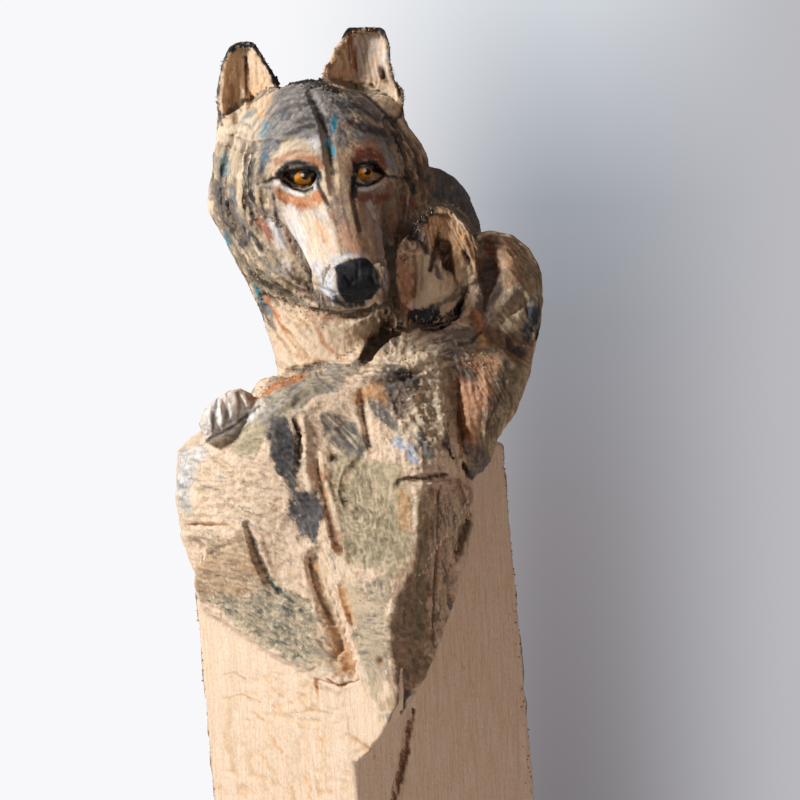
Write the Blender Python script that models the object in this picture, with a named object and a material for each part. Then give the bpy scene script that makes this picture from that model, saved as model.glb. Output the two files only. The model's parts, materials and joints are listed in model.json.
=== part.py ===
# Wolf pair carved out of one quarter log, in metres, standing on z = 0, seen from -Y.
#
# The forms are solids given by their distance function, in millimetres. Many places are named as a
# viewer in front sees them: (across, up) on the plane y = 0, at the right size for their own depth.
import bpy
import numpy as np
from math import cos, pi, radians, sin

nodeName = "wolf_pair_carving"

# the finished carving; its forms are drawn near this size and then brought to it along each axis
finished = {"width": 377.3, "depth": 275.0, "height": 931.6}

# where the viewer's eye is: how far in front, how far to the side and how high
viewer = {"distance": 2600.0, "aside": 16.0, "up": 560.0}

# the quarter log: bark arc about its pith, two sawn faces that meet in a corner at the front
log = {
    "pith": (-4.0, -190.0), "radius": 288.0, "corner": (-10.0, -118.0), "leftFace": (-172.0, -153.0),
    "rightFace": (153.0, -172.0), "lean": -0.09, "shelf": 520.0, "edge": 4.0, "cornerBack": 100.0,
}

# the upper wolf's head: middle between the eyes, turn to the viewer's right, nod, tilt
upperHead = {
    "eyes": (-53.5, 792.0, -84.0), "yaw": 18.0, "nod": 41.0, "tilt": -7.0,
    "eyeApart": 27.5, "eyeball": (17.0, 14.0, 13.0), "socket": (21.0, 13.0, 10.5),
    "skull": (70.0, 76.0, 58.0), "muzzleLength": 129.0, "noseSize": (31.0, 15.0, 24.0),
}

mesh = {"step": 4.0, "triangles": 9600, "low": (-232.0, -222.0, -8.0), "high": (196.0, 136.0, 968.0)}

rim = 8.0
farAway = 60.0
reach = 42.0


def spot(across, up, y=0.0):
    s = (viewer["distance"] + y) / viewer["distance"]
    x = (across - viewer["aside"]) * s + viewer["aside"]
    return np.array([x, y, viewer["up"] + (up - viewer["up"]) * s])


def seen(p):
    s = viewer["distance"] / (viewer["distance"] + p[:, 1])
    return (p[:, 0] - viewer["aside"]) * s + viewer["aside"], (p[:, 2] - viewer["up"]) * s + viewer["up"]


def turned(rx=0.0, ry=0.0, rz=0.0):
    a, b, c = radians(rx), radians(ry), radians(rz)
    aboutX = np.array([[1, 0, 0], [0, cos(a), -sin(a)], [0, sin(a), cos(a)]])
    aboutY = np.array([[cos(b), 0, sin(b)], [0, 1, 0], [-sin(b), 0, cos(b)]])
    aboutZ = np.array([[cos(c), -sin(c), 0], [sin(c), cos(c), 0], [0, 0, 1]])
    return aboutZ @ aboutY @ aboutX


def join(a, b, k):
    h = np.clip(0.5 + 0.5 * (b - a) / k, 0, 1)
    return b * (1 - h) + a * h - k * h * (1 - h)


def meet(a, b, k):
    return -join(-a, -b, k)


# Each solid is (distance function, centre, radius of the ball that holds it).
def lump(at, radii, turn=(0, 0, 0), frame=None):
    at = np.asarray(at, float)
    axes = turned(*turn)
    if frame is not None:
        axes = frame[0] @ axes
        at = frame[1] + frame[0] @ at
    r = np.asarray(radii, float)

    def distance(p):
        q = ((p - at) @ axes) / r
        near = np.sqrt((q * q).sum(1))
        q = q / r
        return near * (near - 1) / np.maximum(np.sqrt((q * q).sum(1)), 1e-6)
    return distance, at, r.max()


def limb(a, b, ra, rb, frame=None):
    a, b = np.asarray(a, float), np.asarray(b, float)
    if frame is not None:
        a = frame[1] + frame[0] @ a
        b = frame[1] + frame[0] @ b
    ab = b - a
    length2 = ab @ ab

    def distance(p):
        t = np.clip((p - a) @ ab / length2, 0, 1)
        v = p - (a + t[:, None] * ab)
        return np.sqrt((v * v).sum(1)) - (ra + t * (rb - ra))
    return distance, (a + b) / 2, np.sqrt(length2) / 2 + max(ra, rb)


def block(at, halfs, turn, edge, frame):
    axes = frame[0] @ turned(*turn)
    at = frame[1] + frame[0] @ np.asarray(at, float)
    h = np.asarray(halfs, float) - edge

    def distance(p):
        q = np.abs((p - at) @ axes) - h
        outside = np.maximum(q, 0)
        return np.sqrt((outside * outside).sum(1)) + np.minimum(q.max(1), 0) - edge
    return distance, at, np.sqrt((h * h).sum()) + edge


def cutPlane(at, normal):
    n = np.asarray(normal, float)
    n = n / np.sqrt(n @ n)
    at = np.asarray(at, float)
    return lambda p: (p - at) @ n


def insideOutline(points, u, w):
    points = np.asarray(points, float)
    nearest = np.full(len(u), 1e18)
    sign = np.ones(len(u))
    for a, b in zip(points, np.roll(points, -1, axis=0)):
        e = b - a
        wu, ww = u - a[0], w - a[1]
        t = np.clip((wu * e[0] + ww * e[1]) / (e @ e), 0, 1)
        nearest = np.minimum(nearest, (wu - e[0] * t) ** 2 + (ww - e[1] * t) ** 2)
        below, above, left = w >= a[1], w < b[1], e[0] * ww > e[1] * wu
        flips = (below & above & left) | (~below & ~above & ~left)
        sign = np.where(flips, -sign, sign)
    return sign * np.sqrt(nearest)


def pillow(points, middle, slope, thick, edge):
    # a front outline given thickness about the plane y = middle, with edges rounded off
    points = np.asarray(points, float)
    centre = points.mean(0)

    def distance(p):
        u, w = seen(p)
        y = p[:, 1] - (middle + slope[0] * (u - centre[0]) + slope[1] * (w - centre[1]))
        a = insideOutline(points, u, w) + edge
        b = (np.abs(y) - thick) / np.sqrt(1 + slope[0] ** 2 + slope[1] ** 2) + edge
        return np.sqrt(np.maximum(a, 0) ** 2 + np.maximum(b, 0) ** 2) + np.minimum(np.maximum(a, b), 0) - edge
    far = np.sqrt(((points - centre) ** 2).sum(1)).max()
    return distance, spot(centre[0], centre[1], middle), far + thick


def ear(base, tip, width, thick, opening, rows, fold):
    # a leaf with a folded hollow; rows give (share of the height, left edge, right edge) as shares of the width
    base, tip = np.asarray(base, float), np.asarray(tip, float)
    ez = tip - base
    high = np.sqrt(ez @ ez)
    ez = ez / high
    ey = np.asarray(opening, float)
    ey = ey - (ey @ ez) * ez
    ey = ey / np.sqrt(ey @ ey)
    ex = np.cross(ez, ey)
    rows = np.asarray(rows, float)

    def distance(p):
        q = p - base
        x, y, z = q @ ex, q @ ey, q @ ez
        t = np.clip(z / high, -0.3, 1.05)
        left = np.interp(t, rows[:, 0], rows[:, 1]) * width
        right = np.interp(t, rows[:, 0], rows[:, 2]) * width
        mid = (left + right) / 2
        half = np.maximum((right - left) / 2, 3)
        deep = thick * (1 - 0.55 * np.clip(t, 0, 1))
        off = x - mid
        behind = -deep * (1 - 0.55 * (off / half) ** 2)
        leaf = np.maximum(np.maximum(np.abs(off) - half, y - 2), (behind - y) * 0.8)
        leaf = meet(meet(leaf, z - high, 5), -z - 30, 6)
        wall = rim + 2 * (1 - t)
        line = fold * half
        share = np.where(off < line, (line - off) / (half + line), (off - line) / (half - line))
        floor = -(deep - wall) * np.clip(1.04 - share, 0, 2)
        hollow = np.maximum(floor - y, np.abs(off) - half + wall * 0.85)
        hollow = np.maximum(np.maximum(hollow, z - high + 6), 6 - z)
        return meet(leaf, -hollow * 0.85, 3)
    return distance, (base + tip) / 2, high / 2 + width * 0.7 + 15


def build(rows, p, d=None):
    # rows of ("add" or "cut", solid, blend radius), each worked out only near its own ball
    d = np.full(len(p), farAway) if d is None else d.copy()
    for what, (distance, centre, radius), k in rows:
        near = ((p - centre) ** 2).sum(1) < (radius + reach) ** 2
        if not near.any():
            continue
        v = distance(p[near])
        d[near] = join(d[near], v, k) if what == "add" else meet(d[near], -v, k)
    return d


# Upper wolf

def headFrame():
    axes = turned(0, 0, upperHead["yaw"]) @ turned(upperHead["nod"]) @ turned(0, upperHead["tilt"])
    return axes, spot(*upperHead["eyes"])


def upperSkull():
    # in the head's own axes: x across, y back, z up, from the middle between the eyes
    f = headFrame()
    apart, long = upperHead["eyeApart"], upperHead["muzzleLength"]
    rows = [
        ("add", lump((0, 62, -21), upperHead["skull"], frame=f), 4),
        ("add", lump((0, 52, 6), (52, 60, 29), frame=f), 20),
        ("add", limb((0, 18, -30), (0, -78, -42), 56, 33, f), 18),
    ]
    for s in (-1, 1):
        rows += [
            ("add", lump((26 * s, 20, 15), (27, 34, 14), (10, 10 * s, 0), f), 9),
            ("add", lump((29 * s, -5, 13), (21, 9, 6), (12, 18 * s, 14 * s), f), 6),
            ("add", lump((52 * s, 22, -24), (28, 40, 30), frame=f), 20),
            ("add", limb((18 * s, -30, -32), (16 * s, 24 - long, -47), 22, 19, f), 12),
            ("add", lump((19 * s, 20 - long, -51), (18, 17, 19), frame=f), 8),
        ]
    rows += [
        ("add", limb((0, 10, 2), (0, 11 - long, -30), 24, 18, f), 14),
        ("add", limb((0, 10, -66), (0, 30 - long, -73), 36, 21, f), 14),
        ("add", block((0, -long, -44), upperHead["noseSize"], (14, 0, 0), 13, f), 3),
    ]
    for s in (-1, 1):
        rows += [
            ("cut", lump((apart * s + 2.5 * s, -13, 0), upperHead["socket"], (0, 12 * s, 22 * s), f), 5),
            ("add", lump((apart * s, 3, -0.5), upperHead["eyeball"], frame=f), 1.5),
            ("cut", lump((17 * s, -17 - long, -45), (8, 7, 6), frame=f), 3),
        ]
    return rows


maneOutline = [
    (-84, 868), (-39, 866), (-4, 856), (18, 842), (39, 806), (46, 784), (43, 720), (26, 680), (1, 655), (-39, 642),
    (-76, 650), (-110, 667), (-131, 688), (-151, 719), (-165, 748), (-171, 775), (-169, 805), (-162, 835),
    (-142, 852), (-114, 864),
]
upperMane = [
    ("add", pillow(maneOutline, 14, (0, -0.1), 74, 62), 12),
    ("add", limb(spot(-136, 822, 0), spot(-148, 755, -2), 25, 26), 14),
    ("add", limb(spot(-146, 760, 0), spot(-114, 700, 4), 25, 29), 14),
    ("add", limb(spot(-120, 830, -18), spot(-122, 760, -30), 20, 24), 10),
    ("add", limb(spot(-122, 755, -28), spot(-92, 698, -36), 25, 24), 12),
    ("add", limb(spot(-104, 710, -20), spot(-54, 672, -30), 34, 26), 16),
    ("add", lump(spot(-84, 735, 10), (66, 66, 74)), 20),
    ("add", lump(spot(-70, 798, 34), (84, 66, 62)), 22),
    ("add", lump(spot(-39, 836, 10), (52, 60, 30), (0, 10, 0)), 14),
    ("add", limb(spot(-12, 832, 0), spot(14, 790, 4), 28, 22), 16),
    ("add", limb(spot(14, 798, 4), spot(16, 728, 6), 25, 28), 16),
    ("add", limb(spot(-4, 810, -26), spot(4, 735, -36), 20, 20), 12),
]
upperEars = [
    ("add", ear(spot(-138, 820, -6), spot(-140, 919, -12), 66, 36, (-0.35, -1, 0.05), [
        (-0.3, -0.45, 0.45), (0, -0.42, 0.40), (0.2, -0.46, 0.44), (0.4, -0.47, 0.52), (0.62, -0.42, 0.46),
        (0.8, -0.36, 0.30), (0.93, -0.26, 0.18), (1.0, -0.12, 0.12)], -0.1), 7),
    ("add", ear(spot(-18, 836, -6), spot(-18, 933, -14), 80, 36, (0.10, -1, 0.05), [
        (-0.3, -0.35, 0.30), (0, -0.46, 0.40), (0.10, -0.53, 0.46), (0.24, -0.55, 0.48), (0.36, -0.56, 0.47),
        (0.46, -0.55, 0.36), (0.60, -0.52, 0.33), (0.66, -0.44, 0.31), (0.78, -0.40, 0.31), (0.85, -0.32, 0.29),
        (1.0, -0.24, 0.22)], -0.25), 7),
]
upperBody = [
    ("add", limb(spot(-59, 695, 6), spot(-36, 540, 6), 58, 62), 12),
    ("add", limb(spot(-112, 675, 0), spot(-66, 588, 6), 22, 30), 14),
    ("add", lump(spot(46, 715, 52), (58, 54, 80), (0, -6, 0)), 18),
    ("add", lump(spot(8, 630, 50), (88, 52, 130)), 26),
    ("add", lump(spot(11, 490, 45), (98, 58, 190)), 30),
    ("add", lump(spot(-34, 710, 55), (88, 46, 120)), 26),
    ("add", lump(spot(-126, 440, 38), (78, 58, 92)), 26),
    ("add", lump(spot(22, 690, 0), (48, 48, 80)), 20),
]
pawOutline = [
    (-185, 536), (-180, 550), (-170, 560), (-156, 569), (-144, 572), (-132, 567), (-124, 556), (-126, 545),
    (-159, 520), (-178, 517),
]
upperPaw = [
    ("add", limb(spot(-54, 535, 10), spot(-109, 558, -22), 34, 26), 12),
    ("add", pillow(pawOutline, -62, (0.25, -0.1), 24, 18), 8),
]

# Lower wolf

lowerHeadOutline = [
    (78, 712), (92, 727), (106, 730), (128, 725), (145, 710), (156, 686), (159, 660), (157, 638), (149, 618), (145, 592),
    (138, 572), (126, 552), (113, 534), (104, 512), (99, 490), (87, 480), (78, 490), (71, 530), (63, 575),
    (56, 610), (64, 640), (70, 680),
]
lowerHead = [
    ("add", pillow(lowerHeadOutline, -52, (-0.12, 0.15), 50, 38), 8),
    ("add", lump(spot(114, 675, -62), (38, 40, 44), (0, 12, 0)), 14),
    ("add", limb(spot(116, 630, -70), spot(108, 560, -84), 34, 26), 14),
    ("add", limb(spot(104, 570, -84), spot(92, 508, -92), 26, 17), 10),
    ("add", limb(spot(84, 585, -92), spot(82, 520, -98), 13, 9), 8),
    ("add", lump(spot(66, 615, -80), (38, 34, 32)), 14),
    ("add", lump(spot(140, 656, -84), (17, 16, 24)), 8),
    ("add", limb(spot(48, 660, -60), spot(56, 720, -62), 30, 22), 12),
    ("add", lump(spot(28, 585, -88), (40, 34, 40)), 20),
]
lowerEar = [
    ("add", ear(spot(54, 644, -84), spot(52, 752, -104), 82, 34, (-0.12, -1, 0.02), [
        (-0.3, -0.36, 0.24), (0, -0.44, 0.26), (0.25, -0.48, 0.46), (0.5, -0.50, 0.54), (0.66, -0.46, 0.50),
        (0.8, -0.30, 0.38), (0.93, -0.18, 0.24), (1.0, -0.10, 0.12)], 0.15), 7),
]
armOutline = [
    (-211, 460), (-206, 510), (-184, 520), (-156, 542), (-122, 565), (-84, 587), (-32, 593), (-28, 490), (-24, 400),
    (-30, 340), (-34, 310), (-26, 281), (-46, 272), (-70, 279), (-74, 291), (-112, 309), (-140, 329), (-178, 352),
    (-188, 370), (-184, 394), (-177, 413), (-200, 420),
]
armBulges = [
    ("add", lump(spot(-122, 480, -60), (62, 32, 66), (0, 20, -36)), 18),
    ("add", lump(spot(-146, 400, -58), (44, 24, 40), (0, 30, -36)), 18),
    ("add", limb(spot(-84, 540, -76), spot(36, 565, -76), 44, 42), 22),
]
chestOutline = [
    (-72, 490), (-78, 520), (-62, 575), (-19, 596), (26, 588), (61, 560), (84, 510), (90, 465), (88, 430), (83, 404),
    (67, 354), (50, 306), (31, 266), (17, 244), (0, 227), (-8, 228), (-4, 236), (-12, 266), (-22, 288), (-30, 313),
    (-46, 340), (-59, 367), (-68, 410),
]
# (outline or plane) cuts of the arm and the chest: place, outward direction, blend
armCuts = [
    (spot(-129, 420, -79), (-0.44, -0.9, 0), 12),
    (spot(-134, 540, -70), (-0.25, -0.62, 0.74), 24),
    (spot(-184, 440, -62), (-0.88, -0.47, 0.05), 10),
]
chestCuts = [
    (spot(4, 225, -112), (-0.15, -1.0, -0.6), 8),
    (spot(-24, 530, -135), (-0.1, -1.0, 0.6), 24),
    ((0, -20, 0), (0, 1, 0), 10),
]
# the forearm's underside slopes down to the log's face along a line in the front view
armBevel = {"corner": (-74.0, 292.0), "slant": 0.58, "proud": 10.0, "steep": 0.5}
chestRidge = (32.0, 460.0, -166.0)
chestLeft = cutPlane(spot(*chestRidge), (-0.55, -0.832, 0.071))
chestFacet = {"deep": 32.0, "below": 37.0}
# what is left of the log's corner under the chest, as seen in front
cornerOutline = [
    (-50, 330), (-50, 196), (-27, 196), (-21, 203), (-12, 208), (-4, 220), (6, 238), (14, 256), (15, 282), (7, 330),
]

# Grooves: path in the front view, radius, depth
grooves = {
    "forehead furrow": ([(-70, 862), (-67, 840), (-63, 810), (-59, 782), (-56, 766)], 6, 5),
    "left cheek": ([(-137, 810), (-141, 782), (-134, 746)], 5.5, 6),
    "left temple": ([(-122, 798), (-120, 755)], 4, 4),
    "left ruff": ([(-161, 810), (-160, 765), (-148, 728), (-128, 698)], 6, 5),
    "lower ruff": ([(-132, 735), (-104, 702), (-70, 670)], 5, 4),
    "left eye corner": ([(-128, 777), (-108, 779)], 3.5, 3),
    "right ruff": ([(4, 838), (18, 795), (18, 746)], 6, 6),
    "under the jaw": ([(-122, 662), (-84, 646), (-42, 640), (-4, 655)], 6, 6),
    "below the left ear": ([(-160, 822), (-138, 813), (-110, 818)], 5, 4),
    "neck": ([(-120, 652), (-104, 625), (-86, 598)], 5, 4),
    "neck meets shoulder": ([(-98, 586), (-54, 595), (-20, 599), (0, 625)], 6, 6),
    "under the lower ear": ([(28, 634), (56, 640), (72, 655), (86, 676)], 5, 6),
    "neck meets muzzle": ([(62, 604), (70, 565), (76, 522), (85, 480)], 9, 9),
    "temple hollow": ([(104, 705), (108, 680), (108, 655)], 13, 5),
    "lower cheek": ([(102, 630), (121, 620), (142, 622)], 5, 4),
    "breast slot": ([(15, 477), (36, 480), (64, 484)], 4.5, 6),
    "side slot": ([(87, 445), (75, 405)], 4.5, 5),
    "shoulder channel": ([(-71, 496), (-62, 475), (-55, 444), (-46, 410)], 6, 8),
    "shoulder edge": ([(-87, 540), (-84, 513), (-87, 488)], 4, 5),
    "arm meets chest": ([(-72, 402), (-66, 378), (-58, 350), (-47, 322), (-36, 300)], 11, 9),
    "depth of that gap": ([(-72, 398), (-64, 372), (-54, 345), (-43, 320), (-31, 288)], 6, 17),
    "chest scar": ([(-43, 374), (-34, 336)], 4, 4),
    "forearm": ([(-138, 436), (-127, 404), (-117, 379)], 5, 7),
    "forearm crack": ([(-117, 379), (-104, 368), (-90, 360), (-74, 354)], 4, 4),
    "breast crack": ([(-23, 568), (-20, 544), (-15, 525), (-12, 508)], 3.5, 4),
    "breast whorl": ([(-24, 501), (-38, 483), (-41, 467), (-36, 453), (-25, 442)], 3.5, 4),
    "first toe": ([(-170, 558), (-168, 540), (-167, 524)], 3, 4),
    "second toe": ([(-160, 562), (-157, 545), (-156, 528)], 2.5, 3),
    "third toe": ([(-144, 568), (-142, 552), (-141, 538)], 3, 4),
    "saw kerf": ([(28, 248), (24, 215), (18, 185), (12, 155), (0, 98)], 4.5, 8),
}


def logFace(p, normal, out=0.0):
    n = np.array([normal[0], normal[1], 0.0])
    n = n / np.sqrt(n @ n)
    x = p[:, 0] - log["lean"] * p[:, 2] - log["corner"][0]
    return x * n[0] + (p[:, 1] - log["corner"][1]) * n[1] - out


def barkArc(p):
    x = p[:, 0] - log["lean"] * p[:, 2] - log["pith"][0]
    return np.sqrt(x * x + (p[:, 1] - log["pith"][1]) ** 2) - log["radius"]


def trunk(p):
    d = meet(barkArc(p), logFace(p, log["leftFace"]), log["edge"])
    d = meet(d, logFace(p, log["rightFace"]), log["edge"])
    u, w = seen(p)
    corner = np.maximum(insideOutline(cornerOutline, u, w), p[:, 1] + log["cornerBack"])
    corner = meet(corner, np.maximum(logFace(p, log["leftFace"]), chestLeft(p)), log["edge"])
    d = join(d, corner, 3)
    d = meet(d, p[:, 2] - log["shelf"], 10)
    return meet(d, -p[:, 2], 1.5)


def lowerArm(p):
    u, w = seen(p)
    d = insideOutline(armOutline, u, w)
    d = d + 0.25 * np.clip(logFace(p, log["leftFace"], 20), -30, 30)
    d = meet(d, -logFace(p, log["leftFace"], -60), 10)
    d = meet(d, barkArc(p), 20)
    for at, normal, k in armCuts:
        d = meet(d, cutPlane(at, normal)(p), k)
    d = build(armBulges, p, d)
    rise = w - armBevel["corner"][1] + armBevel["slant"] * (u - armBevel["corner"][0])
    return meet(d, (logFace(p, log["leftFace"], armBevel["proud"]) - armBevel["steep"] * rise) / 1.15, 4)


def lowerChest(p):
    u, w = seen(p)
    q = p - spot(*chestRidge)
    x = q[:, 0] - log["lean"] * q[:, 2]
    d = insideOutline(chestOutline, u, w) - 0.22 * (p[:, 1] + 130) * np.clip((20 - u) / 40, 0, 1)
    d = meet(d, chestLeft(p), 12)
    d = meet(d, x * 0.647 + q[:, 1] * -0.762, 10)
    facet = x * 0.62 + q[:, 1] * -0.78 + chestFacet["deep"]
    above = q[:, 2] * 0.57 - q[:, 0] * 0.82 + chestFacet["below"]
    d = meet(d, -np.maximum(-facet, above), 5)
    for at, normal, k in chestCuts:
        d = meet(d, cutPlane(at, normal)(p), k)
    return d


def plainForm(p):
    p = np.asarray(p, float)
    d = join(trunk(p), join(lowerArm(p), lowerChest(p), 8), 6)
    d = join(d, meet(build(upperBody, p), barkArc(p), 16), 8)
    d = join(d, build(upperPaw, p), 5)
    d = join(d, build(lowerHead, p), 8)
    d = join(d, build(upperMane, p, build(skullRows, p)), 7)
    return build(lowerEar, p, build(upperEars, p, d))


def ontoForm(points):
    # from the front along the line of sight until the form is met
    y = np.full(len(points), -260.0)
    for _ in range(70):
        s = ((viewer["distance"] + y) / viewer["distance"])[:, None]
        flat = (points - [viewer["aside"], viewer["up"]]) * s + [viewer["aside"], viewer["up"]]
        q = np.stack([flat[:, 0], y, flat[:, 1]], 1)
        y = y + np.clip(plainForm(q) * 0.7, -4, 16)
    return q


def spaced(path, gap):
    path = np.asarray(path, float)
    along = np.r_[0, np.cumsum(np.sqrt((np.diff(path, axis=0) ** 2).sum(1)))]
    t = np.linspace(0, along[-1], max(2, int(along[-1] / gap) + 1))
    return np.stack([np.interp(t, along, path[:, 0]), np.interp(t, along, path[:, 1])], 1)


def carveRows():
    paths = [spaced(path, 7) for path, radius, depth in grooves.values()]
    traced = ontoForm(np.concatenate(paths))
    eye = np.array([viewer["aside"], -viewer["distance"], viewer["up"]])
    rows = []
    start = 0
    for path, (_, radius, depth) in zip(paths, grooves.values()):
        points = traced[start:start + len(path)]
        start += len(path)
        sight = points - eye
        sight = sight / np.sqrt((sight ** 2).sum(1))[:, None]
        taper = 0.5 + 0.5 * np.sqrt(np.sin(np.linspace(0.12, 0.88, len(path)) * pi))
        points = points - sight * ((radius - depth) * taper)[:, None]
        for i in range(len(path) - 1):
            rows.append(("cut", limb(points[i], points[i + 1], radius * taper[i], radius * taper[i + 1]), 3))
    return rows


def carvedForm(p):
    return np.maximum(build(grooveRows, p, plainForm(p)), -p[:, 2])


# Surface of a distance function on a grid

def sampled(field, low, places, step):
    values = np.empty(len(places), np.float32)
    for s in range(0, len(places), 300000):
        values[s:s + 300000] = field(low + places[s:s + 300000] * step)
    return values


def halved(v):
    for axis in range(3):
        v = np.moveaxis(v, axis, 0)
        out = np.empty((v.shape[0] * 2 - 1,) + v.shape[1:], v.dtype)
        out[::2] = v
        out[1::2] = (v[1:] + v[:-1]) * 0.5
        v = np.moveaxis(out, 0, axis)
    return np.ascontiguousarray(v)


def gridOf(field, low, high, step):
    # coarse first, then only near the surface
    low = np.asarray(low, float)
    size = step * 4
    n = np.ceil((np.asarray(high, float) - low) / size).astype(int) + 1
    v = sampled(field, low, np.indices(n).reshape(3, -1).T, size).reshape(n)
    while size > step * 1.01:
        v = halved(v)
        near = np.abs(v) < size * 2.0
        near[::2, ::2, ::2] = False
        size /= 2
        v[near] = sampled(field, low, np.argwhere(near), size)
    return v


def withoutCrossings(v, little):
    # grid faces whose corners alternate would give an edge with four faces, so they are filled
    for _ in range(12):
        changed = False
        for axis in range(3):
            a, b = [i for i in range(3) if i != axis]
            corners = []
            for da, db in ((0, 0), (1, 0), (0, 1), (1, 1)):
                part = [slice(None)] * 3
                part[a] = slice(da, v.shape[a] - 1 + da)
                part[b] = slice(db, v.shape[b] - 1 + db)
                corners.append(tuple(part))
            c = [v[part] < 0 for part in corners]
            bad = (c[0] == c[3]) & (c[1] == c[2]) & (c[0] != c[1])
            if bad.any():
                changed = True
                for part in corners:
                    here = v[part]
                    here[bad & (here >= 0)] = -little
        if not changed:
            break
    return v


def surfaceOf(v, low, step):
    inside = v < 0
    n = np.array(v.shape)
    corners = [(i, j, k) for i in (0, 1) for j in (0, 1) for k in (0, 1)]

    def shifted(o):
        return inside[o[0]:n[0] - 1 + o[0], o[1]:n[1] - 1 + o[1], o[2]:n[2] - 1 + o[2]]
    count = sum(shifted(c).astype(np.int8) for c in corners)
    active = (count > 0) & (count < 8)
    cells = np.argwhere(active)
    index = np.full(active.shape, -1, np.int32)
    index[active] = np.arange(len(cells))
    value = {c: v[tuple((cells + c).T)].astype(float) for c in corners}
    total = np.zeros((len(cells), 3))
    crossings = np.zeros(len(cells))
    for a in corners:
        for axis in range(3):
            if a[axis]:
                continue
            b = tuple(1 if i == axis else a[i] for i in range(3))
            crosses = (value[a] < 0) != (value[b] < 0)
            t = np.where(crosses, value[a] / np.where(crosses, value[a] - value[b], 1), 0)
            total += (np.array(a) + t[:, None] * (np.array(b) - np.array(a))) * crosses[:, None]
            crossings += crosses
    points = np.asarray(low, float) + step * (cells + total / crossings[:, None])
    faces = []
    for axis in range(3):
        a, b = (axis + 1) % 3, (axis + 2) % 3
        first, second = [slice(None)] * 3, [slice(None)] * 3
        first[axis], second[axis] = slice(0, n[axis] - 1), slice(1, n[axis])
        first, second = tuple(first), tuple(second)
        edges = np.argwhere(inside[first] != inside[second])
        started = inside[first][tuple(edges.T)]
        ring = []
        for da, db in ((1, 1), (0, 1), (0, 0), (1, 0)):
            cell = edges.copy()
            cell[:, a] -= da
            cell[:, b] -= db
            ring.append(index[tuple(cell.T)])
        quads = np.stack(ring, 1)
        quads[~started] = quads[~started][:, ::-1]
        faces.append(quads)
    return points, np.concatenate(faces)


def closedAtEnds(v, step):
    for axis in range(3):
        for end in (0, -1):
            part = [slice(None)] * 3
            part[axis] = end
            v[tuple(part)] = np.maximum(v[tuple(part)], step)
    return v


def carvingObject():
    low, high, step = mesh["low"], mesh["high"], mesh["step"]
    v = closedAtEnds(gridOf(carvedForm, low, high, step), step)
    points, faces = surfaceOf(withoutCrossings(v, step * 0.02), low, step)
    points[:, 2] = np.maximum(points[:, 2], 0)
    drawn = points.max(0) - points.min(0)
    print("drawn size in mm", drawn.round(2))
    points *= np.array([finished["width"], finished["depth"], finished["height"]]) / drawn
    data = bpy.data.meshes.new(nodeName)
    data.from_pydata((points * 0.001).tolist(), [], faces.tolist())
    data.update()
    data.shade_smooth()
    made = bpy.data.objects.new(nodeName, data)
    bpy.context.scene.collection.objects.link(made)
    fewer = made.modifiers.new("fewer faces", "DECIMATE")
    fewer.decimate_type = "COLLAPSE"
    fewer.ratio = mesh["triangles"] / (2 * len(faces))
    wood = bpy.data.materials.new("limewood")
    wood.use_nodes = True
    shader = wood.node_tree.nodes["Principled BSDF"]
    shader.inputs["Base Color"].default_value = (0.66, 0.50, 0.34, 1)
    shader.inputs["Roughness"].default_value = 0.8
    data.materials.append(wood)


for thing in list(bpy.data.objects):
    bpy.data.objects.remove(thing)
skullRows = upperSkull()
grooveRows = carveRows()
carvingObject()
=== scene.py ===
# Two wolves carved out of one quarter log of limewood, sawn, gouged and painted, seen from -Y.
# Forms are in millimetres, and many places are (across, up) as a viewer in front sees them.
import json
from concurrent.futures import ThreadPoolExecutor
from math import cos, pi, radians, sin

import bpy
import numpy as np
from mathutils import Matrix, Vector
from mathutils.geometry import tessellate_polygon

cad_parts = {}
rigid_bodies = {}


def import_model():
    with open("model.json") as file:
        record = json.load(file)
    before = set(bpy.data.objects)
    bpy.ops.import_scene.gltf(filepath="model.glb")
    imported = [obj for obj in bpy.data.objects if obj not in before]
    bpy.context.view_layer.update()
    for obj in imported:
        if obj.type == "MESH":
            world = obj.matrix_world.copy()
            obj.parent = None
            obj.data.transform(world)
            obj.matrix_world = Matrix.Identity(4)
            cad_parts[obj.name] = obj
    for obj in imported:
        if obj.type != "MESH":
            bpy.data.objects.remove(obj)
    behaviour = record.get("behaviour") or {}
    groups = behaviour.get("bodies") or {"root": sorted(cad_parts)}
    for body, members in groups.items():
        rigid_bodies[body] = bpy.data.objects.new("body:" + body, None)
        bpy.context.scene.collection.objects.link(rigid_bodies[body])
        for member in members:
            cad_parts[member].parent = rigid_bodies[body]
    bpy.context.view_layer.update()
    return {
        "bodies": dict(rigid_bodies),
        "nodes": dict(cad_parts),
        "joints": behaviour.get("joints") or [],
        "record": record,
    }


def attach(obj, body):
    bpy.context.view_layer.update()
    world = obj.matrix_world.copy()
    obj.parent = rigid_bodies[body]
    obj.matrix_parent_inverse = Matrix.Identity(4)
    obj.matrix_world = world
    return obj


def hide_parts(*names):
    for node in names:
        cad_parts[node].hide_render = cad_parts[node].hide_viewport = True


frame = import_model()


def places(flat):
    # (across, up) pairs from a row of numbers
    return np.array(flat, float).reshape(-1, 2)


# where the viewer's eye is, in front of the carving
viewer = {"distance": 2600.0, "aside": 16.0, "up": 560.0}

# the quarter log: bark arc about its pith, two sawn faces that meet in a corner at the front
log = {
    "pith": (-4.0, -190.0), "radius": 288.0, "corner": (-10.0, -118.0), "leftFace": (-172.0, -153.0),
    "rightFace": (153.0, -172.0), "lean": -0.09, "shelf": 520.0, "edge": 4.0, "cornerBack": 100.0,
}

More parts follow.
